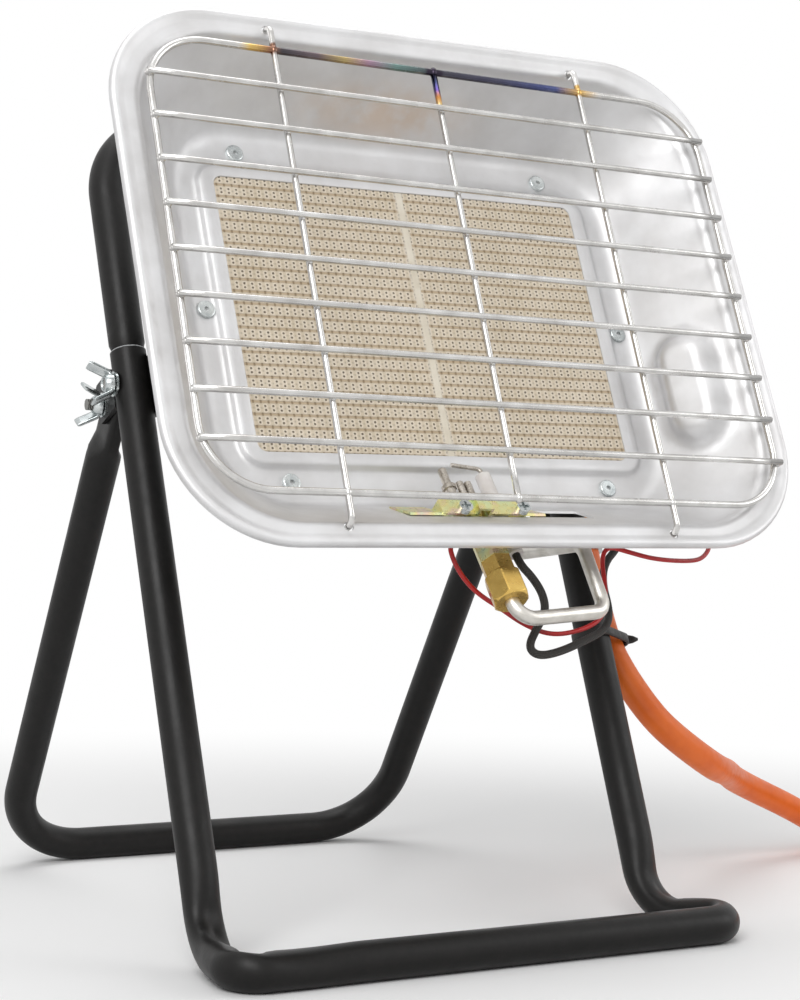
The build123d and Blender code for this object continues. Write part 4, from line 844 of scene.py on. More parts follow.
# ---------------------------------------------------------------- shared ways of shaping
@dataclass
class BentLine:
    """Centre line of a tube or wire, mm: straight runs joined by arcs, sampled evenly.

    Attributes:
        corners: the ends and the corners between the runs.
        radii: bend radius at each corner.
        step: distance between samples in a bend; straight runs use twice that.
        points: the samples.
        bends: each bend's place along the line, its inward direction and half its length.
    """

    corners: list[Vector]
    radii: list[float]
    step: float = 2.0
    points: list[Vector] = field(default_factory=list)
    bends: list[tuple[float, Vector, float]] = field(default_factory=list)

    def __post_init__(self) -> None:
        """Sample the runs and arcs."""
        self.points = [self.corners[0]]
        for index, radius in enumerate(self.radii, start=1):
            before, corner, after = self.corners[index - 1 : index + 2]
            run_in, run_out = (corner - before).normalized(), (after - corner).normalized()
            half = run_in.angle(run_out) / 2
            inward = (run_out - run_in).normalized()
            centre = corner + inward * radius / math.cos(half)
            self.run_to(corner - run_in * radius * math.tan(half))
            first = self.points[-1] - centre
            turns = max(4, int(2 * half * radius / self.step))
            self.bends.append((self.length() + half * radius, inward, half * radius))
            for turn in range(1, turns + 1):
                angle = 2 * half * turn / turns
                self.points.append(centre + first * math.cos(angle) + run_in * (radius * math.sin(angle)))
        self.run_to(self.corners[-1])

    def run_to(self, end: Vector) -> None:
        """Add a straight run.

        Args:
            end: where it goes, mm.
        """
        start = self.points[-1]
        count = max(1, int((end - start).length / (2 * self.step)))
        self.points += [start.lerp(end, i / count) for i in range(1, count + 1)]

    def length(self) -> float:
        """Length of the line so far."""
        return sum((b - a).length for a, b in zip(self.points, self.points[1:]))

    def frames(self, radius: float, first_axis: Vector, closed: bool = False) -> list[Matrix]:
        """Place a unit ring at every sample, turned as little as possible from one to the next.

        Args:
            radius: the ring's radius, mm.
            first_axis: where the ring's X axis starts; it is made square to the line.
            closed: the last sample repeats the first, and is left out.

        Returns:
            One matrix for each ring, Z along the line.
        """
        points = self.points[:-1] if closed else self.points
        count = len(points)
        axis = first_axis
        placed = []
        for index, point in enumerate(points):
            before = points[index - 1] if closed or index else point
            after = points[(index + 1) % count] if closed or index < count - 1 else point
            tangent = (after - before).normalized()
            axis = (axis - tangent * axis.dot(tangent)).normalized()
            turn = Matrix((axis, tangent.cross(axis), tangent)).transposed().to_4x4()
            placed.append(Matrix.Translation(point) @ turn @ Matrix.Scale(radius, 4))
        return placed


class Workpiece:
    """A piece in the making: one bmesh in millimetres and the moves that the heater's pieces share."""

    def __init__(self) -> None:
        """Start with nothing on the bench."""
        self.bm: BMesh = bmesh.new()

    def extend(self, edges: list[BMEdge], move: Matrix) -> tuple[list[BMVert], list[BMEdge]]:
        """Extrude a loop of edges and move the new loop.

        Args:
            edges: the loop.
            move: where the new loop goes, from the old one.

        Returns:
            The new loop's vertices and edges.
        """
        made = bmesh.ops.extrude_edge_only(self.bm, edges=edges)["geom"]
        verts = [item for item in made if isinstance(item, BMVert)]
        fresh = set(verts)
        loop = [item for item in made if isinstance(item, BMEdge) and fresh.issuperset(item.verts)]
        bmesh.ops.transform(self.bm, matrix=move, verts=verts)
        return verts, loop

    def draw(self, frames: Sequence[Matrix], sides: int, closed: bool = False) -> list[list[BMVert]]:
        """Draw a ring along a line, as a tube mill does, and close it or cap its ends.

        Args:
            frames: the ring's places.
            sides: its segments.
            closed: join the last ring to the first.

        Returns:
            The vertices of each ring in order.
        """
        ring = bmesh.ops.create_circle(self.bm, segments=sides, radius=1.0, matrix=frames[0])["verts"]
        first = list({edge for vert in ring for edge in vert.link_edges})
        rings, edges = [ring], first
        for before, after in zip(frames, frames[1:]):
            ring, edges = self.extend(edges, after @ before.inverted())
            rings.append(ring)
        if closed:
            bmesh.ops.bridge_loops(self.bm, edges=first + edges)
        else:
            bmesh.ops.edgeloop_fill(self.bm, edges=first)
            bmesh.ops.edgeloop_fill(self.bm, edges=edges)
        return rings

    def reshape(self, frames: Sequence[Matrix], rings: Sequence[Sequence[BMVert]],
                sections: Sequence[tuple[float, float, float]]) -> None:
        """Turn round rings to flattened or squared ones.

        Args:
            frames: the rings' places.
            rings: their vertices.
            sections: for each ring, its size along X and along Y as shares of the radius, and its squareness
                (2 is an ellipse, more is squarer).
        """
        for frame, ring, (wide, deep, square) in zip(frames, rings, sections):
            back = frame.inverted()
            for vert in ring:
                c, s, _ = back @ vert.co
                size = (abs(c) ** square + abs(s) ** square) ** (-1 / square)
                vert.co = frame @ Vector((c * size * wide, s * size * deep, 0.0))

    def lathe(self, profile: Sequence[tuple[float, float]], place: Matrix, steps: int = 32) -> None:
        """Spin a closed profile of (radius, height) about an axis.

        Args:
            profile: its corners.
            place: where the axis goes, along Z.
            steps: segments of the full turn.
        """
        verts = [self.bm.verts.new((radius, 0.0, height)) for radius, height in profile]
        edges = [self.bm.edges.new((a, b)) for a, b in zip(verts, verts[1:] + verts[:1])]
        known = set(self.bm.verts) - set(verts)
        bmesh.ops.spin(self.bm, geom=verts + edges, cent=(0, 0, 0), axis=(0, 0, 1), dvec=(0, 0, 0),
                       angle=2 * math.pi, steps=steps, use_merge=True, use_duplicate=False)
        turned = [vert for vert in self.bm.verts if vert not in known]
        bmesh.ops.transform(self.bm, matrix=place, verts=turned)

    def block(self, size: Vector, place: Matrix, ease: float) -> None:
        """Add a box with eased edges.

        Args:
            size: its three sides, mm.
            place: where its middle goes.
            ease: width of the eased edges, mm.
        """
        made = bmesh.ops.create_cube(self.bm, size=1.0, matrix=place @ Matrix.Diagonal((*size, 1.0)))["verts"]
        edges = list({edge for vert in made for edge in vert.link_edges})
        bmesh.ops.bevel(self.bm, geom=edges, offset=ease, segments=2, profile=0.5, affect="EDGES",
                        material=-1)

    def bead(self, where: Vector, along: Vector, size: float) -> None:
        """Add a small weld bead, longer along one direction.

        Args:
            where: its middle.
            along: its long direction.
            size: its half width, mm.
        """
        turn = along.to_track_quat("X", "Z").to_matrix().to_4x4()
        place = Matrix.Translation(where) @ turn @ Matrix.Diagonal((size * 1.25, size, size * 0.9, 1.0))
        bmesh.ops.create_uvsphere(self.bm, u_segments=12, v_segments=8, radius=1.0, matrix=place)

    def mesh(self, name: str, place: Matrix) -> Mesh:
        """Put the piece in place, turn its faces outward and make it a mesh.

        Args:
            name: the mesh's name.
            place: from the piece's millimetres to the scene's metres.

        Returns:
            The mesh; the bench is cleared.
        """
        bmesh.ops.transform(self.bm, matrix=place, verts=self.bm.verts)
        bmesh.ops.recalc_face_normals(self.bm, faces=self.bm.faces)
        mesh = bpy.data.meshes.new(name)
        self.bm.to_mesh(mesh)
        self.bm.free()
        return mesh

    def piece(self, name: str, place: Matrix, shop: Shop, slot: Slot, body: str, *nodes: str) -> Object:
        """Make the piece a mesh and hand it to the shop.

        Args:
            name: the piece's name.
            place: from its millimetres to the scene's metres.
            shop: the shop that finishes it.
            slot: its material slot.
            body: the body that it rides on.
            *nodes: the CAD nodes that it stands for.

        Returns:
            The finished object.
        """
        return shop.fit(bpy.data.objects.new(name, self.mesh(name, place)), slot, body, *nodes)


class Shop:
    """The materials, and the common last steps of every piece."""

    def __init__(self) -> None:
        """Mix every finish once."""
        self.materials = {slot: finish.build() for slot, finish in FINISHES.items()}

    def show(self, piece: Object) -> Object:
        """Link an object to the scene."""
        bpy.context.collection.objects.link(piece)
        return piece

    def fit(self, piece: Object, slot: Slot, body: str, *nodes: str) -> Object:
        """Give a piece its finish, its body and the CAD nodes that it stands for.

        Args:
            piece: the object, not yet in the scene.
            slot: its material slot.
            body: the body that it rides on.
            *nodes: the CAD nodes.

        Returns:
            The same object.
        """
        piece.data.materials.clear()
        piece.data.materials.append(self.materials[slot])
        if isinstance(piece.data, Mesh):
            piece.data.shade_smooth()
        self.show(piece)
        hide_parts(*nodes)
        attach(piece, body)
        log.info("%s made for %s", piece.name, ", ".join(nodes))
        return piece

    def carve(self, piece: Object, tool: Workpiece, place: Matrix) -> None:
        """Cut a tool's closed shape out of a piece.

        Args:
            piece: the piece.
            tool: the shape that goes.
            place: from the tool's millimetres to the scene's metres.
        """
        cutter = self.show(bpy.data.objects.new("cutter", tool.mesh("cutter", place)))
        modifier = piece.modifiers.new("cut", "BOOLEAN")
        modifier.object = cutter
        modifier.solver = "EXACT"
        self.settle(piece)
        bpy.data.objects.remove(cutter)

    def settle(self, piece: Object) -> None:
        """Apply a piece's modifiers.

        Args:
            piece: the piece, already in the scene.
        """
        bpy.context.view_layer.update()
        mesh = bpy.data.meshes.new_from_object(piece.evaluated_get(bpy.context.evaluated_depsgraph_get()))
        piece.modifiers.clear()
        piece.data = mesh

    def crease(self, piece: Object, angle_deg: float) -> None:
        """Keep edges sharper than an angle crisp under smooth shading."""
        split = piece.modifiers.new("crease", "EDGE_SPLIT")
        split.split_angle = math.radians(angle_deg)


# ---------------------------------------------------------------- stand
@dataclass(frozen=True)
class Press:
    """A place where the bending tool has pressed a tube in.

    Attributes:
        at: distance along the centre line, mm.
        reach: how far each way the press fades, mm.
        inward: direction of the pressed side.
        depth: share of the radius that the pressed side loses.
        bulge: share of the radius that the flanks gain.
        focus: how narrowly the press bites; more is narrower.
    """

    at: float
    reach: float
    inward: Vector
    depth: float
    bulge: float
    focus: float = 1.5

    def change(self, along: float, direction: Vector) -> float:
        """Share of the radius gained, or lost, in a direction at a place.

        Args:
            along: the place along the centre line, mm.
            direction: from the centre line outward.

        Returns:
            The share; below zero on the pressed side.
        """
        offset = abs(along - self.at) / self.reach
        if offset >= 1:
            return 0.0
        fade = 0.5 + 0.5 * math.cos(math.pi * offset)
        facing = direction.dot(self.inward)
        return fade * ((1 - facing * facing) ** 2 * self.bulge - max(0.0, facing) ** self.focus * self.depth)


@dataclass
class SteelTube:
    """An enamelled steel tube drawn along a bent line, pressed in at its bends."""

    line: BentLine
    presses: list[Press] = field(default_factory=list)
    sides: int = 40

    def section(self, from_start: float, from_end: float) -> tuple[float, float, float]:
        """The tube's section at distances from both ends: round unless a kind of tube says otherwise."""
        return 1.0, 1.0, 2.0

    def shape(self) -> Workpiece:
        """Draw the tube and press its bends.

        Returns:
            The tube; nothing of it goes below the floor.
        """
        work = Workpiece()
        frames = self.line.frames(TUBE_RADIUS, RIGHT)
        rings = work.draw(frames, self.sides)
        total = self.line.length()
        along, places = 0.0, []
        for index, point in enumerate(self.line.points):
            along += (point - self.line.points[index - 1]).length if index else 0.0
            places.append(along)
        work.reshape(frames, rings, [self.section(place, total - place) for place in places])
        for place, point, ring in zip(places, self.line.points, rings):
            near = [press for press in self.presses if abs(place - press.at) < press.reach]
            for vert in ring if near else ():
                offset = vert.co - point
                direction = offset.normalized()
                vert.co = point + offset * (1 + sum(press.change(place, direction) for press in near))
                vert.co.z = max(vert.co.z, 0.0)
        return work


@dataclass
class SwagedTube(SteelTube):
    """A tube whose ends draw in to plug into the legs.

    Attributes:
        neck: length of the drawn-in end, mm.
        end_share: the radius at the very end, as a share of the tube's.
    """

    neck: float = 4.5
    end_share: float = 0.84

    def section(self, from_start: float, from_end: float) -> tuple[float, float, float]:
        """The section, narrower over the last few millimetres.

        Args:
            from_start: distance from the start, mm.
            from_end: distance from the end, mm.

        Returns:
            Size each way as shares of the radius, and the squareness.
        """
        share = min(1.0, min(from_start, from_end) / self.neck)
        radius = self.end_share + (1 - self.end_share) * math.sin(share * math.pi / 2)
        return radius, radius, 2.0


@dataclass
class FlattenedTube(SteelTube):
    """A tube whose ends are pressed flat, with a round tip about the fold bolt.

    Attributes:
        half_thickness: half the flat's thickness, mm.
        half_width: half its width, and the tip's radius, mm.
        flat_length: length of the flat, mm.
        blend: length over which it turns round again, mm.
    """

    half_thickness: float = 3.5
    half_width: float = 9.0
    flat_length: float = 27.0
    blend: float = 9.0

    def section(self, from_start: float, from_end: float) -> tuple[float, float, float]:
        """The section: flat at the ends, round along the rest.

        Args:
            from_start: distance from the start, mm.
            from_end: distance from the end, mm.

        Returns:
            Size each way as shares of the radius, and the squareness.
        """
        near = min(from_start, from_end)
        share = min(1.0, max(0.0, (near - self.flat_length) / self.blend))
        share = share * share * (3 - 2 * share)
        deep = self.half_width + (TUBE_RADIUS - self.half_width) * share
        if near < self.half_width:
            deep = max(0.6, math.sqrt(self.half_width**2 - (self.half_width - near) ** 2))
        wide = self.half_thickness + (TUBE_RADIUS - self.half_thickness) * share
        return wide / TUBE_RADIUS, deep / TUBE_RADIUS, 6.0 - 4.0 * share


@dataclass
class Stand:
    """The front frame's tube, the carrying handle that plugs into it, and the rear frame's tube.

    Attributes:
        foot_y: where a front leg's centre line meets its foot.
        front_bar_y: the front bar's place.
        rear_bar_y: the rear bar's place.
        flare_left: how far the left foot spreads outward.
        flare_right: how far the right foot does.
        foot_radius: bend from a leg to its foot.
        corner_radius: bend from a foot to the bar.
        joint_height: the height at which the handle plugs into the legs.
        handle_rise: length of the handle's sides.
        handle_radius: its bends.
        rear_radius: the rear frame's bends.
        bolt_hole: radius of the fold bolts' holes.
    """

    foot_y: float = -102.690
    front_bar_y: float = -145.890
    rear_bar_y: float = 161.110
    flare_left: float = 6.0
    flare_right: float = 19.0
    foot_radius: float = 26.0
    corner_radius: float = 11.0
    joint_height: float = 251.5
    handle_rise: float = 115.379
    handle_radius: float = 37.5
    rear_radius: float = 40.0
    bolt_hole: float = 2.65

    def leg_point(self, height: float, side: float = 0.0) -> Vector:
        """A point on a front leg's centre line at a height above the floor."""
        return Vector((side, self.foot_y, TUBE_RADIUS)) + LEG_UP * ((height - TUBE_RADIUS) / LEG_UP.z)

    def front(self) -> SteelTube:
        """The front tube: two legs, two feet and the bar, with the left corner crushed by the bending tool.

        Returns:
            The tube, not yet drawn.
        """
        side = LEG_HALF_SPACING
        line = BentLine(
            [self.leg_point(self.joint_height, -side), Vector((-side, self.foot_y, TUBE_RADIUS)),
             Vector((-side - self.flare_left, self.front_bar_y, TUBE_RADIUS)),
             Vector((side + self.flare_right, self.front_bar_y, TUBE_RADIUS)),
             Vector((side, self.foot_y, TUBE_RADIUS)), self.leg_point(self.joint_height, side)],
            [self.foot_radius, self.corner_radius, self.corner_radius, self.foot_radius])
        foot_left, corner_left, corner_right, foot_right = line.bends
        scoop = Vector((0.35, -0.75, 0.55)).normalized()
        fold = Vector((0.8, 0.35, 0.5)).normalized()
        presses = [
            Press(foot_left[0] + 4, reach=foot_left[2] + 20, inward=scoop, depth=0.62, bulge=0.10, focus=1.8),
            Press(foot_right[0], reach=foot_right[2] + 16, inward=foot_right[1], depth=0.5, bulge=0.12),
            Press(corner_left[0], reach=corner_left[2] + 3, inward=fold, depth=0.75, bulge=0.14),
            Press(corner_left[0] + 1, reach=7.0, inward=fold, depth=0.3, bulge=0.0, focus=4.0),
            Press(corner_left[0] + 24, reach=26.0, inward=Vector((0.0, -0.55, 0.84)), depth=0.22, bulge=0.05),
            Press(corner_right[0], reach=corner_right[2] + 4, inward=corner_right[1], depth=0.3, bulge=0.04),
        ]
        return SteelTube(line, presses)

    def handle(self) -> SteelTube:
        """The carrying handle behind the head.

        Returns:
            The tube, not yet drawn.
        """
        base = self.leg_point(self.joint_height)
        top = base + LEG_UP * self.handle_rise
        side = RIGHT * LEG_HALF_SPACING
        line = BentLine([base - side, top - side, top + side, base + side], [self.handle_radius] * 2)
        presses = [Press(at, half + 4, inward, depth=0.08, bulge=0.02) for at, inward, half in line.bends]
        return SwagedTube(line, presses)

    def rear(self) -> FlattenedTube:
        """The rear frame's tube, down from the fold bolts to the bar.

        Returns:
            The tube, not yet drawn.
        """
        bar = Vector((0.0, self.rear_bar_y, TUBE_RADIUS))
        tip = FOLD_PIVOT - (bar - FOLD_PIVOT).normalized() * FlattenedTube.half_width
        side = RIGHT * LEG_HALF_SPACING
        line = BentLine([tip - side, bar - side, bar + side, tip + side], [self.rear_radius] * 2, 1.5)
        presses = [Press(at, half + 4, inward, depth=0.10, bulge=0.03) for at, inward, half in line.bends]
        return FlattenedTube(line, presses)

    def build(self, shop: Shop) -> None:
        """Make the three tubes, drill the rear one and paint a light line of exposed steel and painted
        highlight at the legs' cut ends.

        Args:
            shop: the shop that finishes them.
        """
        front, handle, rear = (
            tube.shape().piece(name, STAND_PLACE, shop, Slot.BLACK_STEEL, body.value, node)
            for tube, name, body, node in (
                (self.front(), "front_frame_tube", Body.STAND, "front_tube"),
                (self.handle(), "carrying_handle", Body.STAND, "carry_handle"),
                (self.rear(), "rear_frame_tube", Body.REAR, "rear_tube")))
        for sign in (-1, 1):
            drill = Workpiece()
            centre = FOLD_PIVOT + RIGHT * (sign * LEG_HALF_SPACING)
            place = Matrix.Translation(centre) @ Matrix.Rotation(math.pi / 2, 4, "Y")
            bmesh.ops.create_cone(drill.bm, cap_ends=True, segments=32, radius1=self.bolt_hole,
                                  radius2=self.bolt_hole, depth=3 * TUBE_RADIUS, matrix=place)
            shop.carve(rear, drill, STAND_PLACE)
        # The front tube's cut ends get a light line: exposed steel and a painted highlight.
        worn_lit_enamel = BakedEnamel("baked_black_enamel_worn_highlit", cut_end=self.leg_point(self.joint_height)).build()
        front.data.materials[0] = worn_lit_enamel
        for tube in (front, handle, rear):
            tube.data.shade_smooth()
            shop.crease(tube, 55.0)


# ---------------------------------------------------------------- reflector dish
@dataclass(frozen=True)
class DishLine:
    """One rounded-rectangle line of the pressed dish, mm in the head's axes."""

    half_width: float
    half_height: float
    corner: float
    depth: float

    def toward(self, other: DishLine, share: float) -> DishLine:
        """The line part of the way to another."""
        return DishLine(
            self.half_width + (other.half_width - self.half_width) * share,
            self.half_height + (other.half_height - self.half_height) * share,
            self.corner + (other.corner - self.corner) * share,
            self.depth + (other.depth - self.depth) * share)

    def moved(self, other: DishLine, place: Vector) -> Vector:
        """Where a point of this line goes on another, corner to corner and side to side.

        Args:
            other: the other line.
            place: the point.

        Returns:
            The point on the other line.
        """
        flat_x, flat_z = self.half_width - self.corner, self.half_height - self.corner
        inner_x, inner_z = min(max(place.x, -flat_x), flat_x), min(max(place.z, -flat_z), flat_z)
        out_x, out_z = (place.x - inner_x) / self.corner, (place.z - inner_z) / self.corner
        return Vector((
            inner_x / flat_x * (other.half_width - other.corner) + out_x * other.corner, other.depth,
            inner_z / flat_z * (other.half_height - other.corner) + out_z * other.corner))


@dataclass
class ReflectorDish:
    """The pressed reflector with its rolled rim, pressed-in pocket, gas slot and hook holes.

    Attributes:
        sheet: thickness of the sheet, mm.
        corner_steps: segments of each rounded corner.
        side_cuts: cuts along each straight side.
        wall_steps: rings between the mouth and the heel.
        mouth: the line at which the wall starts.
        heel: the line at which it ends.
        rim: the lines of the rolled rim, from its outer edge to the mouth.
        floor: the lines from the heel to the opening round the plaques.
        slot_across: the gas slot's ends.
        slot_depth: its depths in the dish.
        slot_rise: the heights between which it is cut, clear of the wall on both sides.
        hook_hole: radius of the holes for the guard's hooks.
        pocket_depth: the pocket's middle, back from the guard.
        pocket_rise: the ends of its spine, up the face.
        pocket_radius: its radius round the spine.
        pocket_squeeze: how much narrower it is from front to back.
        pocket_lip: share of its radius over which it blends into the wall.
        pocket_push: its depth.
        pocket_way: the way that it is pushed, for each millimetre of depth.
    """

    sheet: float = 0.9
    corner_steps: int = 16
    side_cuts: int = 39
    wall_steps: int = 18
    mouth: DishLine = DishLine(132.4, 109.0, 41.8, 7.8)
    heel: DishLine = DishLine(110.2, 89.3, 32.8, 38.6)
    rim: tuple[DishLine, ...] = (
        DishLine(146.0, 120.5, 50.0, 6.2), DishLine(146.0, 120.5, 50.0, 5.0),
        DishLine(145.7, 120.2, 49.7, 4.1), DishLine(144.9, 119.4, 49.0, 3.4),
        DishLine(143.9, 118.4, 48.2, 3.3), DishLine(142.6, 117.1, 47.4, 3.8),
        DishLine(141.2, 115.9, 46.6, 4.7), DishLine(139.6, 114.8, 45.8, 5.0),
        DishLine(136.6, 112.6, 44.0, 5.0), DishLine(134.6, 111.0, 43.0, 5.3),
        DishLine(133.2, 109.7, 42.2, 6.3))
    floor: tuple[DishLine, ...] = (
        DishLine(109.0, 88.3, 32.4, 40.6), DishLine(107.4, 86.9, 31.8, 42.3),
        DishLine(105.2, 85.0, 30.9, 43.6), DishLine(102.4, 82.4, 29.0, 44.0),
        DishLine(99.2, 76.0, 18.0, 44.0), DishLine(97.6, 72.2, 12.0, 43.9),
        DishLine(96.6, 70.8, 10.8, 43.2), DishLine(95.8, 69.8, 10.0, 42.1),
        DishLine(94.8, 68.8, 9.4, 41.5), DishLine(92.4, 67.2, 7.6, 41.5),
        DishLine(90.2, 65.6, 5.6, 41.6), DishLine(88.95, 64.2, 4.2, 41.9),
        DishLine(88.75, 64.0, 4.0, 42.3))
    slot_across: tuple[float, float] = (-22.5, 49.5)
    slot_depth: tuple[float, float] = (20.5, 34.0)
    slot_rise: tuple[float, float] = (-114.0, -88.0)
    hook_hole: float = 2.0
    pocket_depth: float = 24.0
    pocket_rise: tuple[float, float] = (-49.0, -22.0)
    pocket_radius: float = 15.5
    pocket_squeeze: float = 1.15
    pocket_lip: float = 0.55
    pocket_push: float = 9.5
    pocket_way: tuple[float, float, float] = (-0.82, -0.35, 0.0)

    def pocket(self, depth: float, rise: float) -> float:
        """How far the pocket pushes the right wall in at a place.

        Args:
            depth: the place, back from the guard, mm.
            rise: the place, up the face, mm.

        Returns:
            The push, mm.
        """
        spine = min(max(rise, self.pocket_rise[0]), self.pocket_rise[1])
        off_spine = math.hypot((depth - self.pocket_depth) * self.pocket_squeeze, rise - spine)
        edge = min(1.0, max(0.0, 1 - off_spine / self.pocket_radius) / self.pocket_lip)
        return self.pocket_push * edge * edge * (3 - 2 * edge)

    def shell(self) -> Workpiece:
        """Extrude the rim's line from pressing to pressing, then push the pocket in.

        Returns:
            The dish's front face, a sheet with no thickness yet.
        """
        work = Workpiece()
        bm = work.bm
        lines = list(self.rim)
        lines += [self.mouth.toward(self.heel, i / self.wall_steps) for i in range(self.wall_steps)]
        lines += list(self.floor)
        first = lines[0]
        sheet = bmesh.ops.create_grid(bm, x_segments=1, y_segments=1, size=1.0)["verts"]
        bmesh.ops.scale(bm, vec=(first.half_width, first.half_height, 1.0), verts=sheet)
        bmesh.ops.bevel(bm, geom=sheet, offset=first.corner, segments=self.corner_steps, profile=0.5,
                        affect="VERTICES", material=-1)
        sides = [edge for edge in bm.edges if edge.calc_length() > first.half_height]
        bmesh.ops.subdivide_edges(bm, edges=sides, cuts=self.side_cuts)
        bmesh.ops.delete(bm, geom=list(bm.faces), context="FACES_ONLY")
        bmesh.ops.rotate(bm, cent=(0, 0, 0), matrix=Matrix.Rotation(math.pi / 2, 3, "X"), verts=bm.verts)
        bmesh.ops.translate(bm, vec=(0.0, first.depth, 0.0), verts=bm.verts)
        edges = list(bm.edges)
        for before, after in zip(lines, lines[1:]):
            ring, edges = work.extend(edges, Matrix.Identity(4))
            for vert in ring:
                vert.co = before.moved(after, vert.co)
        for vert in bm.verts:
            if vert.co.x > 0:
                vert.co += Vector(self.pocket_way) * self.pocket(vert.co.y, vert.co.z)
        return work

    def build(self, shop: Shop, hook_holes: Sequence[tuple[float, float]]) -> None:
        """Give the shell the sheet's thickness, then cut the gas slot and the hooks' holes.

        Args:
            shop: the shop that finishes the dish.
            hook_holes: the holes' places, across and up the face, mm.
        """
        piece = self.shell().piece("reflector_dish", HEAD_PLACE, shop, Slot.REFLECTOR, Body.HEAD.value,
                                   "reflector")
        before_face = HEAD_PLACE @ Vector((0.0, -400.0, 0.0))
        inner = piece.data.polygons[-1]
        if (inner.center - before_face).dot(inner.normal) > 0:
            piece.data.flip_normals()
        solid = piece.modifiers.new("sheet", "SOLIDIFY")
        solid.thickness = self.sheet * MM
        solid.offset = -1.0
        slot = Workpiece()
        low, high = (Vector((u, d, v)) for u, d, v in zip(self.slot_across, self.slot_depth, self.slot_rise))
        bmesh.ops.create_cube(slot.bm, size=1.0, matrix=Matrix.Translation((low + high) / 2)
                              @ Matrix.Diagonal((*(high - low), 1.0)))
        shop.carve(piece, slot, HEAD_PLACE)
        for u, rise in hook_holes:
            hole = Workpiece()
            place = Matrix.Translation((u, self.rim[0].depth, rise)) @ Matrix.Rotation(math.pi / 2, 4, "X")
            bmesh.ops.create_cone(hole.bm, cap_ends=True, segments=24, radius1=self.hook_hole,
                                  radius2=self.hook_hole, depth=12.0, matrix=place)
            shop.carve(piece, hole, HEAD_PLACE)
        piece.data.shade_smooth()
        shop.crease(piece, 48.0)


# ---------------------------------------------------------------- wire guard
@dataclass
class WireGuard:
    """Welded guard: one ring, nine cross wires in front of it and three uprights behind them.

    Attributes:
        ring_radius: radius of the ring's wire.
        wire_radius: radius of the other wires.
        half_width: half the ring's width, between wire middles.
        half_height: half its height.
        corner: its corner radius.
        wires: number of cross wires.
        pitch: distance between them.
        overhang: how far they stand past the ring.
        sunk: how deep the welds sink them into the ring.
        rods: places of the two hooked uprights.
        hook_rise: height of their hooks.
        hook_bend: the hooks' bend radius.
        hook_end: how far back the hooks reach.
        ring_depth: depth of the ring's middle.
        shift: how far the guard sits to the right.
        drop: how far it sits down.
        turn_deg: how far it is turned.
        weld_ring: size of the welds where the uprights cross the ring.
        weld_end: size of the welds at the cross wires' ends.
        weld_cross: size of the welds where uprights cross them.
        weld_end_back: how far the end welds sit behind the cross wires' middles.
        weld_cross_back: how far the crossing welds do.
    """

    ring_radius: float = 1.5
    wire_radius: float = 1.35
    half_width: float = 133.7
    half_height: float = 100.6
    corner: float = 27.0
    wires: int = 9
    pitch: float = 20.2
    overhang: float = 1.3
    sunk: float = 0.3
    rods: tuple[float, float] = (-75.8, 74.4)
    hook_rise: float = 113.0
    hook_bend: float = 3.7
    hook_end: float = 8.9
    ring_depth: float = 1.35
    shift: float = 2.8
    drop: float = 0.3
    turn_deg: float = 0.9
    weld_ring: float = 1.9
    weld_end: float = 1.7
    weld_cross: float = 1.5
    weld_end_back: float = 1.35
    weld_cross_back: float = 1.3

    def place(self) -> Matrix:
        """The guard sits a little to the right on the dish, and a little turned."""
        turn = Matrix.Rotation(math.radians(self.turn_deg), 4, "Y")
        return Matrix.Translation((self.shift, 0.0, -self.drop)) @ turn

    def hook_holes(self) -> list[tuple[float, float]]:
        """Where the uprights' hooks pass through the dish's flange, across and up the face."""
        rises = (-self.hook_rise, self.hook_rise)
        points = [self.place() @ Vector((u, 0.0, rise)) for u in self.rods for rise in rises]
        return [(point.x, point.z) for point in points]

    def build(self, shop: Shop) -> None:
        """Draw every wire and weld them as one piece.

        Args:
            shop: the shop that finishes the guard.
        """
        work = Workpiece()
        wide, tall, back = self.half_width, self.half_height, Vector((0.0, 1.0, 0.0))
        corners = [Vector((x, self.ring_depth, z)) for x, z in
                   ((0, -tall), (wide, -tall), (wide, tall), (-wide, tall), (-wide, -tall), (0, -tall))]
        ring = BentLine(corners, [self.corner] * 4, 3.0)
        work.draw(ring.frames(self.ring_radius, back, True), 18, True)
        front = self.ring_depth - self.ring_radius - self.wire_radius + self.sunk
        for index in range(self.wires):
            rise = (index - (self.wires - 1) / 2) * self.pitch
            ends = [Vector((sign * (wide + self.overhang), front, rise)) for sign in (-1, 1)]
            work.draw(BentLine(ends, [], 8.0).frames(self.wire_radius, back), 14)
            for sign in (-1, 1):
                work.bead(Vector((sign * wide, front + self.weld_end_back, rise)), RIGHT, self.weld_end)
            for u in (*self.rods, 0.0):
                work.bead(Vector((u, front + self.weld_cross_back, rise)), UP, self.weld_cross)
        middle = [Vector((0.0, self.ring_depth, -tall)), Vector((0.0, self.ring_depth, tall))]
        work.draw(BentLine(middle, [], 8.0).frames(self.wire_radius, back), 14)
        for u in self.rods:
            low, high = (Vector((u, self.ring_depth, sign * self.hook_rise)) for sign in (-1, 1))
            reach = back * (self.hook_end - self.ring_depth)
            hooked = BentLine([low + reach, low, high, high + reach], [self.hook_bend] * 2, 1.0)
            work.draw(hooked.frames(self.wire_radius, RIGHT), 14)
        for u in (*self.rods, 0.0):
            for sign in (-1, 1):
                work.bead(Vector((u, self.ring_depth, sign * tall)), UP, self.weld_ring)
        work.piece("guard_wires", HEAD_PLACE @ self.place(), shop, Slot.WIRE, Body.HEAD.value, "guard_grille")


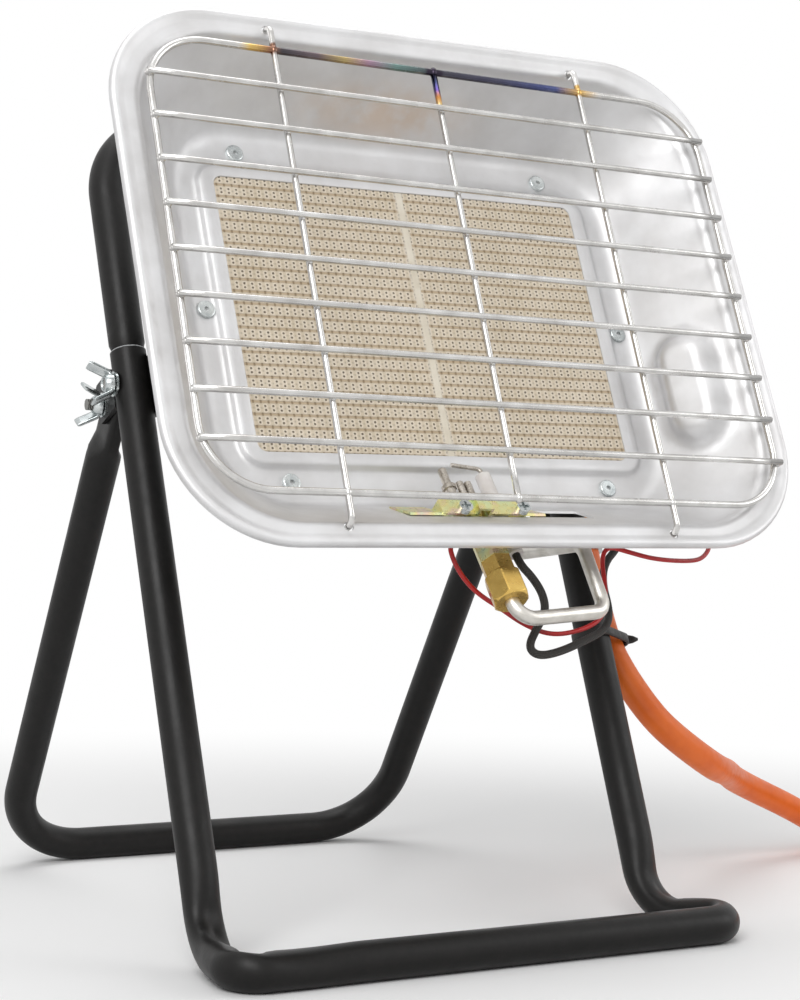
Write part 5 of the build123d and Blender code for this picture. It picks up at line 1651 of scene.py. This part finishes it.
# ---------------------------------------------------------------- wing nuts
@dataclass
class WingNut:
    """A stamped sheet wing nut: a round hub and two flat wings bent outward.

    Attributes:
        name: CAD node and body name.
        pivot: the bolt's axis, mm.
        base: distance of its seat from the middle plane, mm.
        side: -1 on the left, 1 on the right.
        turn_deg: how far the wings stand turned from the leg's line.
        hub: the hub's radius, mm.
        height: the hub's height, mm.
        bore: its bore's radius, mm.
        wing_reach: how far a wing's tip is from the axis, mm.
        wing_flare: how far the tip stands above the seat, mm.
        wing_sheet: thickness of a wing, mm.
        wing_width: its width, mm.
        wing_bend: bend radius of a wing's middle line, mm.
    """

    name: str
    pivot: Vector
    base: float
    side: int
    turn_deg: float
    hub: float = 4.6
    height: float = 4.2
    bore: float = 2.6
    wing_reach: float = 10.0
    wing_flare: float = 9.4
    wing_sheet: float = 1.8
    wing_width: float = 6.0
    wing_bend: float = 2.2

    def build(self, shop: Shop) -> None:
        """Lathe the hub and bend both wings out from it.

        Args:
            shop: the shop that finishes the nut.
        """
        work = Workpiece()
        out = RIGHT * self.side
        origin = self.pivot + out * self.base
        line = lean(LEG_LEAN_DEG + self.turn_deg)
        turn = Matrix((line, out.cross(line), out)).transposed().to_4x4()
        top, shoulder = self.hub - 0.8, self.height
        profile = [(self.bore, 0.0), (self.hub - 0.3, 0.0), (self.hub, 0.3), (self.hub - 0.2, 1.4),
                   (top, shoulder - 0.7), (top - 0.7, shoulder), (self.bore + 0.4, shoulder),
                   (self.bore, shoulder - 0.4)]
        work.lathe(profile, Matrix.Translation(origin) @ turn)
        half = self.wing_sheet / 2
        for sign in (-1, 1):
            wing = line * sign
            tip = (self.wing_reach - 0.78, self.wing_flare + 0.45)
            places = ((3.0, half), (self.hub + 0.1, half + 0.15), tip)
            corners = [origin + wing * reach + out * height for reach, height in places]
            strip = BentLine(corners, [self.wing_bend], 0.5)
            frames = strip.frames(1.0, wing.cross(out))
            rings = work.draw(frames, 24)
            sizes = [(self.wing_width / 2, half, 7.0)] * (len(frames) - 1)
            eased_tip = (self.wing_width / 2 * 0.9, half * 0.7, 7.0)
            work.reshape(frames, rings, [*sizes, eased_tip])
        piece = work.piece(f"{self.name}_formed", STAND_PLACE, shop, Slot.ZINC, self.name, self.name)
        shop.crease(piece, 50.0)


# ---------------------------------------------------------------- hose, leads and tie
class Cord:
    """A round cord on one smooth spline."""

    def __init__(self, name: str, points: Sequence[Vector], diameter_mm: float) -> None:
        """Lay the spline.

        Args:
            name: the curve's name.
            points: control points, metres.
            diameter_mm: the cord's thickness.
        """
        self.points = list(points)
        self.diameter = diameter_mm * MM
        curve = bpy.data.curves.new(name, "CURVE")
        curve.dimensions = "3D"
        spline = curve.splines.new("NURBS")
        spline.points.add(len(self.points) - 1)
        for target, point in zip(spline.points, self.points):
            target.co = (*point, 1.0)
        spline.order_u = 3
        spline.use_endpoint_u = True
        spline.resolution_u = 8
        curve.resolution_u = 8
        curve.render_resolution_u = 8
        curve.bevel_depth = self.diameter / 2
        curve.bevel_resolution = 8
        curve.use_fill_caps = True
        self.object = bpy.data.objects.new(name, curve)


@dataclass
class PutAwayCoil:
    """The hose's unseen length: an inward spiral of half turns, then an arc that lifts the end fitting."""

    hose_od: float = 13.5
    outer_radius: float = 90.0
    half_turns: int = 4
    gap: float = 0.7
    end_radius: float = 52.0
    end_turn_deg: float = 135.0
    end_lift_deg: float = 9.0
    points_per_half: int = 10

    def arc(self, centre: Vector, inward: Vector, heading: Vector, radius: float, sweep_deg: float,
            count: int) -> list[Vector]:
        """Control points of an arc.

        Args:
            centre: the arc's centre.
            inward: from the arc's start to its centre.
            heading: the way it sets out.
            radius: its radius.
            sweep_deg: how far it turns.
            count: number of control points.

        Returns:
            Points that lie where neighbouring tangents meet, so that the spline follows the arc.
        """
        step = math.radians(sweep_deg) / count
        reach = radius / math.cos(step / 2)
        angles = [step * (i + 0.5) for i in range(count)]
        return [centre - inward * (reach * math.cos(a)) + heading * (reach * math.sin(a)) for a in angles]

    def points(self, start: Vector, heading: Vector) -> list[Vector]:
        """Control points of the whole coil.

        Args:
            start: where the free hose ends, mm.
            heading: the way it points there.

        Returns:
            The points, mm.
        """
        point = start + heading * self.hose_od
        route = []
        radius = self.outer_radius
        for _ in range(self.half_turns):
            inward = heading.cross(UP)
            centre = point + inward * radius
            route += self.arc(centre, inward, heading, radius, 180.0, self.points_per_half)
            point = centre + inward * radius
            heading = -heading
            radius -= (self.hose_od + self.gap) / 2
        lift = math.radians(self.end_lift_deg)
        inward = heading.cross(UP) * math.cos(lift) + UP * math.sin(lift)
        centre = point + inward * self.end_radius
        route += self.arc(centre, inward, heading, self.end_radius, self.end_turn_deg, 9)
        turn = math.radians(self.end_turn_deg)
        leave = inward * math.sin(turn) + heading * math.cos(turn)
        end = centre + (heading * math.sin(turn) - inward * math.cos(turn)) * self.end_radius
        return route + [end + leave * self.hose_od]


@dataclass
class GasHose:
    """The orange hose: a short piece up to the head's inlet, then the free hose and its coil."""

    od: float = 13.5
    start: Vector = field(default_factory=lambda: Vector((123.603, -32.082, 137.442)))
    # Route from the stand to the floor, mm in the part's frame, as in the part's source.
    route: tuple[tuple[float, float, float], ...] = (
        (120.9, -42.0, 124.9), (123.5, -50.8, 110.4), (133.5, -58.8, 92.1), (145.3, -61.1, 80.0),
        (175.2, -57.3, 61.6), (210.5, -20.4, 53.4), (238.0, 9.0, 44.0), (289.5, 19.6, 23.4),
        (320.0, 25.2, 7.0), (350.0, 33.5, 7.0))
    inlet: tuple[float, float, float] = (126.0, 141.6, -68.0)
    straight: float = 16.0

    def build(self, shop: Shop) -> None:
        """Lay the hose, its coil and the short piece up to the head's inlet.

        Args:
            shop: the shop that finishes the hose.
        """
        line = [self.start] + [Vector(point) for point in self.route]
        coil = PutAwayCoil().points(line[-1], (line[-1] - line[-2]).normalized())
        hose = Cord("gas_hose_line", [point * MM for point in line + coil], self.od)
        shop.fit(hose.object, Slot.ORANGE, Body.STAND.value, "gas_hose", "hose_coil")

        top = HEAD_PLACE @ Vector(self.inlet)
        below = top - lean(HEAD_TILT_DEG) * self.straight * MM
        flexing = Cord("upper_route", [top, below, self.start * MM], self.od)
        shop.show(flexing.object)
        bpy.context.view_layer.update()
        depsgraph = bpy.context.evaluated_depsgraph_get()
        mesh = bpy.data.meshes.new_from_object(flexing.object.evaluated_get(depsgraph))
        bpy.data.objects.remove(flexing.object)
        mesh.materials.clear()
        mesh.materials.append(shop.materials[Slot.ORANGE])
        mesh.shade_smooth()
        upper = shop.show(bpy.data.objects.new("upper_hose", mesh))
        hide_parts("hose_upper")
        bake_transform(upper)


@dataclass
class Leads:
    """The red switch wire and the sleeved ignition lead that hang below the dish."""

    pilot_origin: Vector = field(default_factory=lambda: Vector((0.0, 21.5, -118.8)))
    pilot_lean_deg: float = 17.0
    # Routes of the leads, mm in the head's axes, as in the part's source.
    switch_route: tuple[tuple[float, float, float], ...] = (
        (-20.9, 24, -111), (-19.7, 25.5, -117.7), (-15.2, 28, -124.5), (-7.9, 31, -130.3), (2.9, 34, -135.3),
        (13.9, 36, -142.1), (26.5, 36.5, -146.9), (43, 37, -144.4), (55.1, 38, -138.5), (59.9, 39, -126.1),
        (60.7, 38.5, -111.7), (65.3, 38, -106.4), (74.8, 38, -109.1), (88.3, 38.5, -112.4), (109.2, 42, -112),
        (119.6, 45, -109.1), (128, 48, -101), (125, 52, -86), (113, 53.2, -77), (103, 53.2, -77))
    ignition_route: tuple[tuple[float, float, float], ...] = (
        (15.7, 25.5, -125.2), (20.5, 27.5, -131.9), (20.7, 28.5, -139.4), (15.5, 29.5, -145.8),
        (10.3, 31, -153.4), (15.4, 33, -156.8), (27.7, 35, -154.5), (44.7, 38, -148.1), (56.8, 41, -142.8),
        (64.4, 46, -133.4),
        (68, 52, -118), (76, 58, -106), (88, 62, -97), (96, 64, -86), (99, 64, -73), (100, 64, -60),
        (102.5, 64, -50.5), (109, 64, -44), (117, 64, -44))

    def pilot_start(self, u: float, along: float, lead_out: float) -> list[Vector]:
        """A lead's first two points: at a pilot part's foot, then a little below it.

        Args:
            u: the part's place across, mm.
            along: its foot's place along the pilot's axis, mm.
            lead_out: how far the lead goes straight on, mm.

        Returns:
            The two points in the head's axes, mm.
        """
        axis = lean(self.pilot_lean_deg)
        foot = Vector((u, 0.0, 0.0)) + self.pilot_origin + axis * along
        return [foot, foot - axis * lead_out]

    def build(self, shop: Shop) -> None:
        """Lay both leads."""
        leads = (
            ("switch_wire", self.pilot_start(-10.6, 15.0, 6.0), self.switch_route, 2.0, Slot.RED, 0.2476),
            ("ignition_lead", self.pilot_start(8.0, 2.0, 5.0), self.ignition_route, 3.4, Slot.SLEEVE, 0.2233),
        )
        for node, start, route, diameter, slot, length in leads:
            points = [HEAD_PLACE @ Vector(point) for point in (*start, *route)]
            lead = Cord(f"{node}_line", points, diameter)
            shop.fit(lead.object, slot, Body.HEAD.value, node)


@dataclass
class HoseTie:
    """The plastic tie that holds the hose to the right front leg, with its lock and its pointed tail.

    Attributes:
        height: the tie's height on the leg, mm.
        hose: the hose's middle there.
        hose_od: the hose's thickness, mm.
        leg_room: room between the band and the leg, mm.
        hose_room: room between the band and the hose, mm.
        band_width: the band's width, mm.
        band_thickness: its thickness, mm.
        lock_way: from the hose's middle to the lock.
        lock_rise: how far the lock stands above the band, mm.
        lock_size: the lock's three sides, mm.
        tail_way: the way that the tail points.
        tail_length: its length, mm.
    """

    height: float = 126.0
    hose: Vector = field(default_factory=lambda: Vector((121.9, -45.9, 119.0)))
    hose_od: float = 13.5
    leg_room: float = 0.3
    hose_room: float = 1.2
    band_width: float = 4.4
    band_thickness: float = 1.3
    lock_way: tuple[float, float, float] = (0.96, 0.29, -0.1)
    lock_rise: float = 5.0
    lock_size: tuple[float, float, float] = (3.6, 4.6, 5.0)
    tail_way: tuple[float, float, float] = (0.84, -0.5, 0.05)
    tail_length: float = 7.0

    def build(self, shop: Shop, stand: Stand) -> None:
        """Wrap the band, set the lock on it and let the tail stand out.

        Args:
            shop: the shop that finishes the tie.
            stand: the stand, for the leg's place.
        """
        origin = stand.leg_point(self.height, LEG_HALF_SPACING)
        shift = self.hose - origin
        shift -= LEG_UP * shift.dot(LEG_UP)
        along, reach = shift.normalized(), shift.length
        side = LEG_UP.cross(along)
        half = self.band_thickness / 2
        leg, hose = TUBE_RADIUS + self.leg_room + half, self.hose_od / 2 + self.hose_room + half
        corners = [origin + along * x + side * y for x, y in (
            (reach / 2, leg), (-leg, leg), (-leg, -leg), (reach + hose, -hose), (reach + hose, hose),
            (reach / 2, leg))]
        band = BentLine(corners, [leg - 0.2, leg - 0.2, hose - 0.2, hose - 0.2], 1.2)
        work = Workpiece()
        frames = band.frames(1.0, LEG_UP, True)
        work.reshape(frames, work.draw(frames, 16, True), [(self.band_width / 2, half, 6.0)] * len(frames))
        turn = Matrix((along, side, LEG_UP)).transposed().to_4x4()
        lock = self.hose + Vector(self.lock_way).normalized() * (hose + 0.9) + UP * self.lock_rise
        work.block(Vector(self.lock_size), Matrix.Translation(lock) @ turn, 0.6)
        away = Vector(self.tail_way).normalized()
        tail = BentLine([lock, lock + away * self.tail_length], [], 1.0)
        frames = tail.frames(1.0, LEG_UP)
        count = len(frames) - 1
        shares = [min(1.0, 0.25 + 1.6 * (count - i) / count) for i in range(count + 1)]
        work.reshape(frames, work.draw(frames, 16), [(2.2 * share, half, 6.0) for share in shares])
        work.piece("hose_tie_band", STAND_PLACE, shop, Slot.PLASTIC, Body.STAND.value, "hose_tie")


# ---------------------------------------------------------------- carried-over CAD nodes
def dress_nodes(frame: dict, shop: Shop) -> None:
    """Give every CAD node its slot's material, and each bolt a thread along its own axis.

    Args:
        shop: the shop that holds the materials.
    """
    slots = {part["node"]: Slot(part["material_slot"]) for part in frame["record"]["subparts"]}
    bolts = {"tilt_bolt": TILT_PIVOT, "fold_bolt": FOLD_PIVOT}
    for name, node in frame["nodes"].items():
        material = shop.materials[slots[name]]
        stem, _, side = name.rpartition("_")
        if stem in bolts:
            axis = -RIGHT if side == "left" else RIGHT
            material = RolledThread(f"threaded_{name}", bolts[stem], axis).build()
        node.data.materials.clear()
        node.data.materials.append(material)
    log.info("dressed %d CAD nodes", len(frame["nodes"]))


# ---------------------------------------------------------------- camera, floor and light
@dataclass(frozen=True)
class PhotoCamera:
    """The photograph's camera, solved from the object's own sizes."""

    position: tuple[float, float, float] = (-428.54, -863.46, 187.24)
    yaw_deg: float = 28.09
    pitch_deg: float = 0.06
    roll_deg: float = 0.78
    lens_mm: float = 74.49

    def build(self) -> None:
        """Create the camera and make it the scene's own."""
        yaw, pitch, roll = (math.radians(a) for a in (self.yaw_deg, self.pitch_deg, self.roll_deg))
        forward = Vector((math.sin(yaw) * math.cos(pitch), math.cos(yaw) * math.cos(pitch), math.sin(pitch)))
        level = Vector((math.cos(yaw), -math.sin(yaw), 0.0))
        right = level * math.cos(roll) + level.cross(forward) * math.sin(roll)
        data = bpy.data.cameras.new("photo_camera")
        data.lens = self.lens_mm
        data.sensor_width = 36.0
        data.sensor_fit = "AUTO"
        data.clip_start = 0.01
        camera = bpy.data.objects.new("photo_camera", data)
        bpy.context.collection.objects.link(camera)
        turn = Matrix((right, right.cross(forward), -forward)).transposed().to_4x4()
        camera.matrix_world = Matrix.Translation(Vector(self.position) * MM) @ turn
        bpy.context.scene.camera = camera


@dataclass(frozen=True)
class Panel:
    """A large soft lamp."""

    name: str
    position: tuple[float, float, float]
    size: float
    power: float
    target: tuple[float, float, float] = (0.0, 0.0, 0.2)

    def build(self) -> None:
        """Hang the lamp and turn it to its target."""
        data = bpy.data.lights.new(self.name, "AREA")
        data.shape = "SQUARE"
        data.size = self.size
        data.energy = self.power
        light = bpy.data.objects.new(self.name, data)
        light.location = self.position
        direction = Vector(self.target) - Vector(self.position)
        light.rotation_euler = direction.to_track_quat("-Z", "Y").to_euler()
        bpy.context.collection.objects.link(light)


@dataclass(frozen=True)
class Studio:
    """A pale floor that runs into a white backdrop, and soft light from large panels."""

    light_on_object: float = 0.33
    floor_half: float = 6.0
    fade_from: float = 0.30
    fade_to: float = 0.75
    panels: tuple[Panel, ...] = (
        Panel("key", (-1.3, -1.5, 1.5), 1.4, 34.0),
        Panel("fill", (1.5, -1.0, 0.9), 1.0, 6.0),
        Panel("top", (0.1, 0.3, 2.0), 1.4, 12.0),
    )

    def backdrop(self) -> None:
        """Pure white to the eye, and an even dimmer tent to the object."""
        world = bpy.data.worlds.new("studio")
        world.use_nodes = True
        tree = world.node_tree
        background = tree.nodes["Background"]
        background.inputs["Color"].default_value = (1.0, 1.0, 1.0, 1.0)
        rays = tree.nodes.new("ShaderNodeLightPath")
        shown = rays.outputs["Is Camera Ray"]
        for kind in ("Is Glossy Ray", "Is Transmission Ray"):
            either = tree.nodes.new("ShaderNodeMath")
            either.operation = "MAXIMUM"
            tree.links.new(shown, either.inputs[0])
            tree.links.new(rays.outputs[kind], either.inputs[1])
            shown = either.outputs[0]
        level = tree.nodes.new("ShaderNodeMapRange")
        level.inputs["To Min"].default_value = self.light_on_object
        tree.links.new(shown, level.inputs["Value"])
        tree.links.new(level.outputs[0], background.inputs["Strength"])
        bpy.context.scene.world = world

    def floor(self) -> None:
        """A matt floor that keeps the object's shadow and fades to the backdrop away from it."""
        work = Workpiece()
        bmesh.ops.create_grid(work.bm, x_segments=2, y_segments=2, size=self.floor_half)
        g = Graph("pale_floor")
        reach = g.add("VectorMath", g.coords, out="Value", operation="LENGTH")
        fade = g.add("MapRange", reach, self.fade_from, self.fade_to, 0.0, 1.0, **SMOOTH)
        seen = g.add("Math", fade, g.add("LightPath", out="Is Camera Ray"), operation="MULTIPLY")
        g.surface(linear("#fafafa"), 0.9, 0.0, 0.1)
        white = g.tree.nodes.new("ShaderNodeEmission")
        mixed = g.add("MixShader", seen, g.shader.outputs[0], white.outputs[0])
        g.plug(g.output.inputs["Surface"], mixed)
        floor = bpy.data.objects.new("floor", work.mesh("floor", Matrix.Identity(4)))
        floor.data.materials.append(g.material)
        floor.location.z = -0.0002
        bpy.context.collection.objects.link(floor)

    def build(self) -> None:
        """Set the floor, the backdrop, the lamps and the view."""
        self.floor()
        self.backdrop()
        for panel in self.panels:
            panel.build()
        bpy.context.scene.view_settings.view_transform = "Standard"


# ---------------------------------------------------------------- whole scene
def build_heater(shop: Shop) -> None:
    """Make every piece that stands for a CAD node.

    Args:
        shop: the shop that finishes them.
    """
    stand = Stand()
    stand.build(shop)
    guard = WireGuard()
    ReflectorDish().build(shop, guard.hook_holes())
    guard.build(shop)
    for side, sign in (("left", -1), ("right", 1)):
        WingNut(f"tilt_wing_nut_{side}", TILT_PIVOT, 115.3, sign, 3.0).build(shop)
        WingNut(f"fold_wing_nut_{side}", FOLD_PIVOT, 113.1, sign, -49.0).build(shop)
    GasHose().build(shop)
    Leads().build(shop)
    HoseTie().build(shop, stand)


def main() -> None:
    """Dress the frame, build the pieces, then set the camera, floor and light."""
    logging.basicConfig(level=logging.INFO, format="%(name)s %(message)s")
    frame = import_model()
    shop = Shop()
    dress_nodes(frame, shop)
    build_heater(shop)
    PhotoCamera().build()
    Studio().build()


if __name__ == "__main__":
    main()
